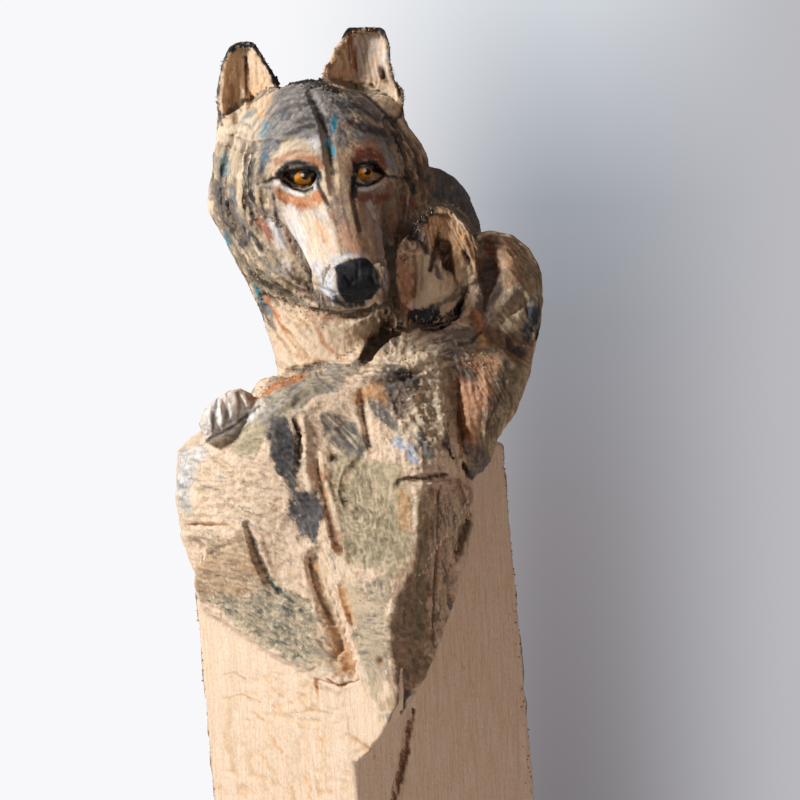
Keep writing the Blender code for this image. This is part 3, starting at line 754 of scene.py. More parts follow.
def smooth(a, b, x):
    t = np.clip((x - a) / (b - a), 0, 1)
    return t * t * (3 - 2 * t)


def chance(i, j, k, seed):
    i, j, k = [np.asarray(a).astype(np.int64).astype(np.uint64) for a in (i, j, k)]
    a, b, c, d, few = [np.uint64(x) for x in (374761393, 668265263, 2246822519, 3266489917, 0xffffffff)]
    n = (i * a + j * b + k * c + np.uint64(seed * int(d))) & few
    n = ((n ^ (n >> np.uint64(15))) * c) & few
    n = ((n ^ (n >> np.uint64(13))) * d) & few
    return ((n ^ (n >> np.uint64(16))) & np.uint64(0xffffff)).astype(float) / 0xffffff


def noise(p, size, seed):
    # smooth, -1 to 1; size in mm, one number or one for each axis
    def work(p):
        q = p / np.asarray(size, float)
        base = np.floor(q)
        f = q - base
        f = f * f * (3 - 2 * f)
        total = 0
        for c in range(8):
            o = np.array([c & 1, c >> 1 & 1, c >> 2])
            share = np.where(o, f, 1 - f).prod(1)
            total = total + share * chance(base[:, 0] + o[0], base[:, 1] + o[1], base[:, 2] + o[2], seed)
        return total * 2 - 1
    return inChunks(work, p)


def layered(p, size, seed, layers=3):
    total = sum(noise(p, np.asarray(size, float) / 2 ** i, seed + i) * 0.6 ** i for i in range(layers))
    return total / sum(0.6 ** i for i in range(layers))


# How fur and tool marks run, in front: (across, up, degrees, gouge depth, streak depth)
flow = [
    (-94, 845, 35, 0.3, 0.35), (-114, 812, 50, 0.4, 0.4), (-79, 825, 25, 0.25, 0.3), (-84, 865, 20, 0.4, 0.4),
    (-34, 850, -30, 0.3, 0.35), (-4, 830, -45, 0.4, 0.35), (-19, 820, -20, 0.25, 0.3),
    (16, 810, -60, 0.6, 0.4), (-59, 835, -85, 0.2, 0.3), (-54, 795, -85, 0.2, 0.3),
    (-122, 775, -85, 0.7, 0.5), (-144, 790, -88, 1.0, 0.6), (-169, 780, -85, 1.0, 0.6),
    (-159, 735, -68, 1.3, 0.6), (-139, 695, -52, 1.3, 0.6), (-109, 670, -35, 1.3, 0.6),
    (-74, 655, -15, 1.0, 0.6), (-94, 735, -62, 0.5, 0.4), (-64, 710, -70, 0.2, 0.3),
    (-84, 695, -55, 0.5, 0.4), (-39, 760, -78, 0.15, 0.3), (-26, 720, -80, 0.15, 0.25),
    (-4, 720, -85, 0.2, 0.3), (-40, 680, -60, 0.1, 0.2), (-20, 680, -88, 0.1, 0.2), (-83, 785, 0, 0.1, 0.1),
    (-18, 785, 0, 0.1, 0.1), (11, 760, -80, 0.6, 0.4), (36, 760, -82, 1.0, 0.5), (26, 720, -95, 0.9, 0.5),
    (0, 690, -80, 0.5, 0.4), (-114, 630, -60, 0.5, 0.4), (-74, 610, -40, 0.4, 0.3), (-34, 620, -70, 0.4, 0.3),
    (11, 640, -85, 1.0, 0.6), (-54, 580, -25, 0.5, 0.4), (-149, 870, 85, 0.25, 0.2),
    (-122, 870, 78, 0.3, 0.25), (-39, 900, 86, 0.3, 0.25), (-9, 900, 75, 0.25, 0.15), (1, 862, 50, 0.3, 0.2),
    (41, 710, 80, 0.4, 0.2), (66, 710, 80, 0.6, 0.3), (46, 670, -88, 0.2, 0.2), (116, 720, -35, 0.7, 0.4),
    (136, 710, -50, 0.8, 0.5), (151, 660, -80, 1.0, 0.5), (116, 680, -70, 0.6, 0.4),
    (131, 620, -60, 0.9, 0.5), (96, 610, -30, 0.9, 0.5), (56, 615, 20, 0.9, 0.5), (86, 540, -85, 0.5, 0.4),
    (116, 560, -72, 0.7, 0.5), (56, 560, -70, 1.0, 0.6), (26, 580, -50, 1.2, 0.6), (6, 540, -75, 1.1, 0.6),
    (-34, 520, -38, 0.9, 0.6), (-99, 520, -45, 0.9, 0.5), (-84, 565, 32, 0.9, 0.5), (-154, 530, 30, 0.9, 0.5),
    (-164, 480, -12, 0.9, 0.4), (-169, 400, -8, 0.5, 0.3), (-134, 360, -32, 0.7, 0.3),
    (-144, 460, -15, 0.9, 0.4), (-19, 460, -82, 0.9, 0.6), (-34, 480, -60, 0.8, 0.6),
    (-4, 490, -88, 0.8, 0.6), (-14, 400, -80, 0.9, 0.4), (-9, 340, -5, 0.4, 0.2), (-54, 440, -70, 0.8, 0.4),
    (26, 360, -85, 0.7, 0.4), (26, 250, -80, 0.8, 0.4), (-160, 552, -70, 0.6, 0.4), (60, 430, -85, 0.3, 0.3),
]
flowCell, flowLeft, flowUnder = 6.0, -260, -60
flowAcross, flowUp = np.meshgrid(np.arange(flowLeft, 261, flowCell), np.arange(flowUnder, 1021, flowCell),
                                 indexing="ij")


def flowMaps():
    rows = np.array(flow, float)
    far = (flowAcross[..., None] - rows[:, 0]) ** 2 + (flowUp[..., None] - rows[:, 1]) ** 2
    weight = 1 / (far + 60) ** 2
    weight /= weight.sum(-1, keepdims=True)
    twice = 2 * np.radians(rows[:, 2])
    turn = 0.5 * np.arctan2((weight * np.sin(twice)).sum(-1), (weight * np.cos(twice)).sum(-1))
    return turn, (weight * rows[:, 3]).sum(-1), (weight * rows[:, 4]).sum(-1)


turnMap, gougeMap, streakMap = flowMaps()


def fromMap(made, u, w):
    i = np.clip(((u - flowLeft) / flowCell + 0.5).astype(int), 0, made.shape[0] - 1)
    j = np.clip(((w - flowUnder) / flowCell + 0.5).astype(int), 0, made.shape[1] - 1)
    return made[i, j]


def alongFlow(u, w):
    return fromMap(turnMap, u, w)


def alongLog(s, z):
    return -pi / 2 + 0.25 * np.sin(s / 37 + z / 61)


def dabs(x, z, turn, gap, long, wide, seed, top=True, loose=0.5):
    # strokes laid along the flow: how near the stroke's middle (1 to 0), and two chances of its own
    def work(x, z):
        ci, cj = np.floor(x / gap), np.floor(z / gap)
        best = np.full(len(x), -1e9)
        out = np.zeros((len(x), 3))
        cells = int(np.ceil(long / gap))
        for di in range(-cells, cells + 1):
            for dj in range(-cells, cells + 1):
                i, j = ci + di, cj + dj
                cx, cz = (i + chance(i, j, 1, seed)) * gap, (j + chance(i, j, 2, seed)) * gap
                angle = turn(cx, cz) + (chance(i, j, 3, seed) - 0.5) * loose
                dx, dz = x - cx, z - cz
                ca, sa = np.cos(angle), np.sin(angle)
                m = ((dx * ca + dz * sa) / long) ** 2 + ((dz * ca - dx * sa) / wide) ** 2
                rank = np.where(m < 1, chance(i, j, 4, seed), -1e8) if top else -m
                take = rank > best
                best = np.where(take, rank, best)
                kept = [np.maximum(1 - m, 0), chance(i, j, 5, seed), chance(i, j, 6, seed)]
                out[take] = np.stack(kept, 1)[take]
        return out
    return inChunks(work, x, z)


def nearLine(path, u, w):
    # distance to a bent line and how far along it, 0 to 1
    legs = np.sqrt((np.diff(path, axis=0) ** 2).sum(1))
    before = np.r_[0, np.cumsum(legs)]
    nearest = np.full(len(u), 1e18)
    share = np.zeros(len(u))
    for n, (a, b) in enumerate(zip(path[:-1], path[1:])):
        e = b - a
        t = np.clip(((u - a[0]) * e[0] + (w - a[1]) * e[1]) / max(e @ e, 1e-6), 0, 1)
        d = (u - a[0] - t * e[0]) ** 2 + (w - a[1] - t * e[1]) ** 2
        closer = d < nearest
        nearest = np.where(closer, d, nearest)
        share = np.where(closer, (before[n] + t * legs[n]) / before[-1], share)
    return np.sqrt(nearest), share


# Ridges and cuts of their own: width, height (a cut is below zero), places of the line in front view
marks = [
    # face
    (4, 1.6, -108,786, -97,795, -84,797, -72,795, -65,786),
    (3, 0.8, -104,778, -90,769, -76,767, -67,773),
    (4, 1.6, -31,793, -20,799, -8,797, 2,787),
    (3, 0.8, -29,773, -18,771, -4,776),
    (3, -1.6, -68,776, -60,764, -55,752),
    (3, -1.6, -30,780, -32,768, -31,757),
    (5, -1.4, -52,760, -47,738, -40,710),
    (5, -1.6, -31,765, -27,745, -22,722),
    (4, -1.2, -78,748, -72,725, -66,700),
    (4, -1, -84,740, -80,715, -72,692),
    (4, -1.2, -48,701, -36,704, -18,704, -6,698),
    (3, -1, -26,700, -26,680),
    (4, -2.5, -38,683, -34,676, -30,680),
    (3.5, -2.2, -14,684, -10,678),
    (3, -1.6, -52,668, -40,660, -26,656, -10,660),
    # upper ears
    (5, -2, -139,902, -138,885, -137,862, -142,842),
    (5, 2.5, -141,868, -139,850, -144,838),
    (5, -2, -33,924, -30,905, -29,890, -34,880),
    (4, -3, -13,875, -9,873),
    (6, -6, -3,890, 0,880),
    (5, -5, 14,876, 16,864),
    (12, 3, -14,876, 2,862, 14,850),
    (4, -2, -60,880, -46,874, -22,870, -2,852, 10,840),
    # lower wolf's ear, brow and muzzle
    (5, 5, 57,712, 56,702, 55,690),
    (6, 6, 69,710, 72,695, 76,676),
    (5, 4, 81,700, 86,688, 90,674),
    (8, -7, 62,716, 64,702, 64,690),
    (6, -3.5, 58,730, 50,706, 46,686),
    (6, -3, 34,722, 36,700, 35,672),
    (4, -4, 84,702, 80,690, 83,680),
    (5, 3, 34,634, 46,636, 68,648, 86,670, 94,684),
    (3, -2.5, 34,630, 52,631, 72,642, 90,664),
    (7, 4, 120,690, 138,672, 148,655),
    (7, -3, 98,706, 112,690, 104,664, 100,640),
    (9, 3.5, 118,680, 108,662, 104,640),
    (6, -3.5, 138,668, 144,652, 140,636),
    (4, -3, 60,600, 66,575, 74,540, 86,490),
    (7, 2.5, 72,602, 78,580, 84,545, 92,510),
    (5, -2.5, 78,612, 90,608, 100,612),
    (12, -3, 72,590, 80,584, 84,576),
    (6, 2, 96,600, 104,570, 102,530, 92,494),
    # neck, shoulder and arm
    (8, -2.5, -26,630, -4,614, 16,600, 40,596),
    (12, -5, -4,622, -14,610, -22,598),
    (10, 2.5, -132,530, -110,548, -84,568, -50,578),
    (4, -1, -110,545, -115,520, -106,498, -92,492),
    (4, -1.6, -91,545, -86,528, -84,510, -88,492),
    (5, -2, -180,505, -172,515, -158,520),
    (5, -2.4, -162,500, -152,484, -146,470),
    (3, -3, -198,434, -176,433, -150,436),
    (5, -1.6, -184,398, -170,408, -152,416, -130,420),
    (6, 2, -66,494, -54,470, -46,440, -38,408),
    (5, -3, -45,414, -41,404),
    (5, 2.5, -64,398, -58,370, -44,336, -28,302, -20,282),
    # breast and trunk
    (3, -1.5, -60,548, -44,530, -30,512),
    (3, -1.5, -62,540, -48,522, -34,504),
    (5, -3.5, -53,503, -51,501),
    (5, 2.5, 22,548, 30,536, 36,528),
    (6, -2, 14,520, 26,510, 34,500),
    (5, -3.5, -36,352, -30,330, -26,314),
    (6, -4, -5,300, -3,298),
    (5, 2.5, -58,296, -44,284, -42,274),
    (9, -4, -50,300, -43,312, -46,330),
    (3, -2.2, -72,281, -58,276, -46,272, -26,281),
    (2.6, -1.4, -69,280, -66,262, -63,248),
    (2.6, -1.4, -40,257, -36,240, -34,225),
    (6, -4, -33,221, -22,212, -12,208, -6,218),
    (5, -3, -30,205, -18,210),
    # lower head
    (6, -2, 30,640, 22,620, 24,600),
    (34, -5, 100,698, 108,682, 116,668),
    (24, 4, 110,722, 126,702, 128,676),
    (16, 2.5, 150,690, 152,668, 150,640),
    (14, 4.5, 104,640, 118,656, 136,672),
    (9, -4, 112,632, 128,648, 142,658),
    (16, 2.5, 120,628, 134,640),
    (18, -3.5, 104,626, 124,614, 142,606),
    (14, 3, 104,612, 124,600, 140,590),
    (14, -3, 126,616, 136,604),
    (10, 3.5, 90,654, 96,640, 98,628),
    (7, 3, 84,612, 92,622, 100,626),
    (26, -3, 112,580, 118,550, 112,520),
    (18, 3, 82,600, 88,560, 90,520),
    (16, 2, 82,508, 94,504, 102,498),
    # lower ear, once more
    (18, -9, 58,718, 64,704, 66,690),
    (16, 2.5, 42,702, 44,680, 44,664),
    (8, -4, 30,708, 30,688, 28,664),
    (8, 2.5, 44,744, 62,742, 78,724, 90,702, 92,686),
    (5, 3, 50,712, 48,696, 50,688),
    (5, 5, 60,690, 60,678, 58,668),
    (5, 5, 67,688, 66,676, 62,664),
    (5, -5, 55,726, 50,706, 45,690),
    (9, 4, 38,742, 46,736, 42,722),
    (5, 4, 36,728, 40,716, 46,706),
    (4, -6, 80,706, 84,692, 88,682),
    (16, -3.5, 34,646, 50,646),
    (8, 3.5, 50,656, 70,664, 84,680),
    (6, -5, 38,634, 58,634, 72,646, 82,662),
    # breast
    (12, 3, 14,706, 14,680, 12,650),
    (14, 3, -26,592, 0,588, 30,596, 60,612, 84,618),
    (8, -3.5, 0,576, 20,580, 40,592),
    (22, -4.5, 34,572, 50,560, 58,540),
    (12, 4, 24,566, 34,548, 40,534),
    (9, -5, 64,590, 66,560, 70,520, 78,492),
    (7, 3, 54,588, 56,560, 60,520),
    (6, -3, 50,532, 64,512, 80,492, 88,482),
    (4, -2, 14,480, 40,482, 64,486),
    (7, -4, 88,448, 80,424, 74,408),
    (4, 2.5, 92,450, 84,426, 78,410),
    (5, -2, 54,470, 54,420, 52,370, 50,312),
    (9, 2.5, 35,480, 34,440, 28,390, 8,356, 4,330, 8,300, 12,280, 15,260),
    (6, 2.5, 84,404, 66,352, 50,306, 34,272, 28,262),
    # arm and shoulder
    (14, -3, -70,398, -64,376, -54,350, -44,322, -34,300),
    (16, 3, -58,300, -46,284),
    (6, 2, -179,353, -140,329, -112,309, -74,292),
    (5, 2, -184,393, -188,376, -179,353),
    (6, -2.6, -138,436, -130,414, -122,392, -112,378),
    (7, 1.5, -128,434, -120,408, -112,386),
    (34, -2.5, -150,470, -120,462, -96,452),
    (20, 2, -198,470, -180,440),
    (20, -3, -104,538, -98,516, -96,496),
    (8, 3.5, -82,548, -77,520, -78,492, -70,460),
    (18, -2.5, -42,540, -30,520),
    # upper ears, once more
    (12, -2, -148,896, -150,872, -148,850),
    (5, 4, -142,872, -136,862, -138,850),
    (5, 4, -148,842, -142,850),
    (4, -4, -148,846, -150,838),
    (4, -3, -40,892, -44,884),
    (6, -3, -46,908, -42,902),
    (6, -3, -56,896, -52,890),
    (12, -1.5, -24,906, -12,884),
]

# grooves side by side along a line: spacing, reach, depth, colour of the grooves, its strength, line
combs = [
    (9, 26, 0.9, "charcoal", 0.35, -146,822, -158,775, -152,728, -126,690, -95,667, -60,655),
    (8, 16, 1.3, "charcoal", 0.4, 6,838, 26,805, 34,765, 28,715),
    (8, 30, 0.4, "honey", 0.35, -100,640, -70,606, -30,592),
    (7, 18, 0.9, "darkBrown", 0.35, 0,690, 14,650, 6,606),
    (5.5, 36, 0.25, "darkGrey", 0.3, -122,822, -98,856, -66,862),
    (5.5, 34, 0.25, "darkGrey", 0.3, -58,858, -20,856, 8,832, 20,795),
    (5, 24, 0.45, "olive", 0.2, -36,490, -41,470, -36,452, -24,441),
    (5.5, 24, 0.4, "brown", 0.2, 70,602, 84,560, 90,508),
    (5.5, 24, 0.4, "brown", 0.25, 96,724, 130,716, 152,690, 158,655),
    (5, 22, 0.3, "sand", 0.3, -84,750, -72,715, -60,690),
    (8, 24, 0.5, "brown", 0.15, 40,480, 44,420, 34,330),
    (4.5, 20, 0.5, "brown", 0.3, 112,632, 128,614, 146,606),
    (3.6, 18, 0.8, "brown", 0.4, 48,748, 54,716),
    (3.8, 14, 0.8, "darkBrown", 0.3, 70,746, 84,712, 92,690),
    (4.5, 10, 0.35, "brown", 0.35, -150,900, -148,850),
    (5.5, 24, 0.5, "honey", 0.35, -30,920, -22,880),
    (5, 9, 0.4, "honey", 0.35, -124,900, -124,850),
    (4, 24, 0.5, "darkBrown", 0.25, 96,600, 118,560, 112,520),
    (5, 12, 0.9, "darkBrown", 0.4, -60,590, -20,592, 20,590),
]

# Tool marks: gap, half length and half width of each kind, then depths of cuts and rises of what is between
relief = {
    "gouges": (8.0, 11.0, 5.0), "gougeDepth": 1.5, "gougeRise": 0.5,
    "streaks": (4.0, 9.0, 1.9), "streakDepth": 0.9,
    "gougesBehind": (12.0, 22.0, 7.5), "behindDepth": 2.2, "behindRise": 0.8,
    "streaksBehind": (5.0, 14.0, 2.4), "streakBehindDepth": 0.6,
    "roughSize": (4.2, 4.2, 3.0), "roughDepth": 0.35, "swellSize": 14.0, "swellDepth": 0.7,
    "sawGap": 4.6, "sawDepth": 0.55, "sawWander": 2.5, "sawSlant": 0.12,
    "grainSizes": [(6.0, 6.0, 90.0), (14.0, 14.0, 160.0)], "grainDepth": 0.25,
    "toothSize": (13.0, 13.0, 4.6), "toothDepth": 2.6,
    "crackSizes": [(27.0, 27.0, 92.0), (19.0, 19.0, 58.0)], "crackWide": 0.24, "barkDepth": 4.2,
    "barkSize": (9.0, 9.0, 22.0), "barkRough": 1.4,
    "roundness": 150.0, "lowest": -11, "highest": 7,
    # calm places round the eyes in front view, where they end and are whole, how deep they lie
    "eyes": [(-84, 781), (-17, 785)], "calm": (25, 17), "calmDepth": 0.6,
}
# tooth marks on the left sawn face: middle across and up, half width, half height
toothed = [(-100, 258, 66, 34), (-60, 226, 40, 26), (-140, 170, 40, 60), (-60, 170, 50, 30)]
# crumbly places: depth, size across and up, outline
crumbs = [
    (0.6, 5, 2.2, -215,520, -150,548, -84,592, -30,600, 20,600, 60,560, 92,480, 80,400, 50,306, 12,236,
     -14,258, -45,272, -74,288, -184,350, -215,420),
    (1.7, 4.6, 3.4, -4,640, 38,632, 62,604, 70,560, 60,520, 36,508, 14,530, 0,560, -14,590),
    (1.3, 4, 3, 74,606, 114,608, 112,586, 80,584),
    (0.8, 5, 3.6, -184,358, -150,368, -120,374, -92,362, -66,350, -60,302, -74,290, -138,328),
    (0.6, 4, 2.6, 70,584, 110,590, 150,600, 140,560, 112,520, 98,484, 80,484),
    (0.35, 3.4, 3, -60,706, -48,708, -4,706, 2,690, 0,660, -40,650, -66,660),
    (0.5, 4.5, 3, 88,724, 128,726, 162,690, 160,640, 148,600, 100,606, 96,650),
    (0.55, 3.6, 3.2, -172,790, -168,740, -140,690, -96,652, -60,650, -80,680, -112,712, -124,760, -122,810,
     -160,826),
    (0.4, 3.2, 3, -126,826, -104,872, -63,880, -12,862, 14,832, -10,820, -50,826, -90,826),
    (0.4, 5, 3.4, -60,650, 0,655, 24,690, 20,640, -4,600, -90,590, -112,640),
    (0.6, 3.6, 3.4, 4,820, 40,806, 48,755, 38,716, 20,712, 14,770),
]
# where saw ripples show: strength, outline
sawnAreas = [
    (1, -200,420, -205,375, -182,352, -130,318, -70,288, -66,350, -90,420, -140,435),
    (1.1, -40,400, 8,410, 8,250, -14,262, -30,330),
    (0.7, 8,420, 34,440, 30,300, 10,235),
]


# the front view in small squares: left end, lower end, side of a square, how many across and up
squared = {"left": -260, "under": -30, "side": 3, "across": 180, "up": 340}


def frontMost(parts):
    # nearest depth in each square
    nearest = np.full((squared["across"], squared["up"]), 1e9)
    for part in parts:
        u, w = seen(part["points"])
        i, j = squares(u, w)
        np.minimum.at(nearest, (i, j), part["points"][:, 1])
    wide = nearest.copy()
    for di in (-1, 0, 1):
        for dj in (-1, 0, 1):
            wide = np.minimum(wide, np.roll(nearest, (di, dj), (0, 1)))
    return wide


def squares(u, w):
    i = ((u - squared["left"]) / squared["side"]).astype(int)
    j = ((w - squared["under"]) / squared["side"]).astype(int)
    return np.clip(i, 0, squared["across"] - 1), np.clip(j, 0, squared["up"] - 1)


def survey(part, nearest):
    # what the relief and the paint need to know of each point
    p, n = part["points"], part["out"]
    part["start"] = p
    u, w = seen(p)
    sight = p - np.array([viewer["aside"], -viewer["distance"], viewer["up"]])
    sight /= np.sqrt((sight ** 2).sum(1))[:, None]
    facing = -(n * sight).sum(1)
    i, j = squares(u, w)
    shown = p[:, 1] < nearest[i, j] + 9 + 5 / np.maximum(facing, 0.15)
    middle = log["lean"] * p[:, 2] - 10
    left = np.array([*log["leftFace"], 0]) / np.hypot(*log["leftFace"])
    right = np.array([*log["rightFace"], 0]) / np.hypot(*log["rightFace"])
    part.update(
        u=u, w=w, front=smooth(-0.08, 0.14, facing) * shown, facing=facing, surface=(n ** 2).sum(1) > 0.5,
        s=np.arctan2(p[:, 0] - middle, -(p[:, 1] + 30)) * relief["roundness"],
        left=smooth(3, 1, np.abs(logFace(p, log["leftFace"]))) * smooth(0.9, 0.97, n @ left),
        right=smooth(3, 1, np.abs(logFace(p, log["rightFace"]))) * smooth(0.9, 0.97, n @ right),
        bark=(smooth(7, 3, np.abs(barkArc(p))) * smooth(0.3, 0.6, n[:, 1] + 0.6 * np.abs(n[:, 0]))
              * smooth(560, 500, p[:, 2])),
        foot=n[:, 2] < -0.9,
    )
    part["bark"] *= 1 - np.maximum(part["left"], part["right"])
    part["open"] = np.clip(inChunks(carvedForm, p + n * 9.0) / 9.0, -1, 1.2)


def nearby(part, line, margin, shown=0.02):
    # the points that show in front within a margin round a line
    low, high = line.min(0) - margin, line.max(0) + margin
    u, w = part["u"], part["w"]
    around = (u > low[0]) & (u < high[0]) & (w > low[1]) & (w < high[1])
    return np.flatnonzero(around & (part["front"] > shown))


def reliefOf(part):
    p, u, w, s, front = part["points"], part["u"], part["w"], part["s"], part["front"]
    z = p[:, 2]
    flat = np.maximum(part["left"], part["right"])
    worked = (1 - flat) * (1 - part["bark"])
    size = relief
    front1 = dabs(u, w, alongFlow, *size["gouges"], 11, top=False)
    front2 = dabs(u, w, alongFlow, *size["streaks"], 12, loose=0.3)
    round1 = dabs(s, z, alongLog, *size["gougesBehind"], 21, top=False)
    round2 = dabs(s, z, alongLog, *size["streaksBehind"], 22)
    gouge, streak = fromMap(gougeMap, u, w), fromMap(streakMap, u, w)
    ahead = -gouge * size["gougeDepth"] * front1[:, 0] * (0.5 + front1[:, 1]) + gouge * size["gougeRise"]
    ahead -= streak * size["streakDepth"] * front2[:, 0] * (0.3 + front2[:, 1])
    behind = -size["behindDepth"] * round1[:, 0] * (0.4 + round1[:, 1]) + size["behindRise"]
    behind = behind - size["streakBehindDepth"] * round2[:, 0]
    move = worked * (front * ahead + (1 - front) * behind)
    rough = size["roughDepth"] * noise(p, size["roughSize"], 32)
    fine = worked * front * (rough * np.clip(0.4 + gouge, 0, 1))
    for n, (depth, across, up, *outline) in enumerate(crumbs):
        near = nearby(part, places(outline), 8, 0.05)
        if len(near):
            inner = smooth(6, -6, insideOutline(places(outline), u[near], w[near]))
            inner = inner * worked[near] * front[near]
            lumps = noise(p[near], (across, across, up), 33 + n)
            lumps += 0.6 * noise(p[near], (across / 2, across / 2, up * 0.7), 34 + n)
            fine[near] += depth * inner * (lumps - 0.2)
    move += fine
    move += worked * layered(p, size["swellSize"], 31) * size["swellDepth"] * np.clip(0.3 + gouge, 0, 1)
    for strength, *outline in sawnAreas:
        near = smooth(6, -6, insideOutline(places(outline), u, w) + noise(p, 12.0, 41) * 5)
        wander = size["sawWander"] * noise(p, (30.0, 30.0, 9.0), 42)
        wave = np.sin(2 * pi * (w + wander + size["sawSlant"] * u) / size["sawGap"])
        move += (worked * front * near * strength * size["sawDepth"] * (wave * 0.5 - 0.5)
                 * (0.6 + 0.6 * noise(p, (9.0, 9.0, 4.0), 43)))
    for n, (spacing, reachOut, depth, colour, strength, *path) in enumerate(combs):
        near, band, wave = combed(part, places(path), spacing, reachOut, n)
        if len(near):
            move[near] += depth * band * (wave - 0.3) * front[near]
            fine[near] += depth * band * wave * front[near]
    for across, up in size["eyes"]:
        calm = 1 - front * smooth(*size["calm"], np.hypot(u - across, 1.3 * (w - up)))
        move, fine = move * calm - size["calmDepth"] * (1 - calm), fine * calm
    for width, height, *path in marks:
        near = nearby(part, places(path), width, 0.05)
        if len(near):
            d, share = nearLine(places(path), u[near], w[near])
            ends = smooth(0, 0.18, share) * smooth(1, 0.82, share) * 0.6 + 0.4
            move[near] += height * ends * smooth(width / 2 + 1.2, 0.3, d) * front[near]
    finer, coarser = size["grainSizes"]
    grain = noise(p, finer, 51) + 0.6 * noise(p, coarser, 52)
    move += flat * grain * size["grainDepth"] * (1 + 0.8 * part["right"])
    part["teeth"] = 0
    for n, (across, up, wide, high) in enumerate(toothed):
        rows = np.maximum(noise(p, size["toothSize"], 53 + n) - 0.1, 0)
        rows *= smooth(1.2, 0.5, np.hypot((u - across) / wide, (w - up) / high))
        part["teeth"] = np.maximum(part["teeth"], rows * part["left"])
        move -= part["left"] * rows * size["toothDepth"]
    # bark: cracks run where a stretched noise is nought
    large, small = size["crackSizes"]
    cracks = np.minimum(np.abs(noise(p, large, 61)), np.abs(noise(p, small, 64)) + 0.05)
    deep = smooth(size["crackWide"], 0.04, cracks + 0.08 * noise(p, (5.0, 5.0, 12.0), 63))
    part["fissure"] = deep
    plates = size["barkDepth"] * (0.25 - deep) + layered(p, size["barkSize"], 62) * size["barkRough"]
    move += part["bark"] * plates
    move[part["foot"]] = 0
    part["fine"] = fine + worked * front * (0.5 - 1.5 * front1[:, 0] * (0.4 + front1[:, 1])) * gouge * 0.8
    part["fine"] += worked * front * streak * (0.35 - front2[:, 0] * (0.3 + front2[:, 1]))
    part["points"] = p + part["out"] * np.clip(move, size["lowest"], size["highest"])[:, None]
    part["points"][:, 2] = np.maximum(part["points"][:, 2], 0)


def combed(part, path, spacing, reachOut, seed):
    near = nearby(part, path, reachOut, 0.05)
    if not len(near):
        return near, near, near
    d, share = nearLine(path, part["u"][near], part["w"][near])
    p = part["start"][near]
    band = smooth(reachOut, reachOut * 0.5, d) * (0.35 + 0.65 * smooth(-0.3, 0.2, noise(p, 16.0, 95 + seed)))
    wave = np.sin(2 * pi * (d + 1.6 * noise(p, 12.0, 96 + seed)) / spacing)
    return near, band, wave


nearest = frontMost(carved)
for part in carved:
    survey(part, nearest)
    reliefOf(part)
print("tool marks, splits and bark worked in")

# Paint. Colours are as a lit place shows them; strokes and patches are placed in front view.

def linear(red, green, blue, strength=1.0):
    # a colour as a picture shows it (0 to 255), as light
    c = np.array([red, green, blue]) / 255
    return tuple(np.where(c <= 0.04045, c / 12.92, ((c + 0.055) / 1.055) ** 2.4) * strength)


colours = {
    "black": (30, 31, 34), "charcoal": (58, 58, 62), "darkGrey": (88, 85, 84), "grey": (124, 118, 112),
    "paleGrey": (172, 165, 158), "blueGrey": (98, 118, 132), "turquoise": (62, 150, 172),
    "teal": (52, 88, 86), "navy": (52, 68, 84), "white": (242, 236, 230), "cream": (243, 220, 188),
    "peach": (236, 196, 156), "rust": (172, 94, 54), "orange": (214, 138, 84), "brown": (142, 98, 68),
    "darkBrown": (84, 58, 44), "redBrown": (150, 84, 60), "olive": (142, 128, 94), "khaki": (200, 182, 148),
    "sand": (216, 190, 154), "salmon": (206, 148, 116), "tan": (190, 150, 112), "greyBrown": (128, 110, 94),
    "snow": (216, 219, 230), "honey": (232, 176, 122), "soot": (44, 42, 42), "barkDark": (70, 56, 45),
    "barkPale": (142, 122, 101),
}
asSeen = 0.82  # how bright they are laid on

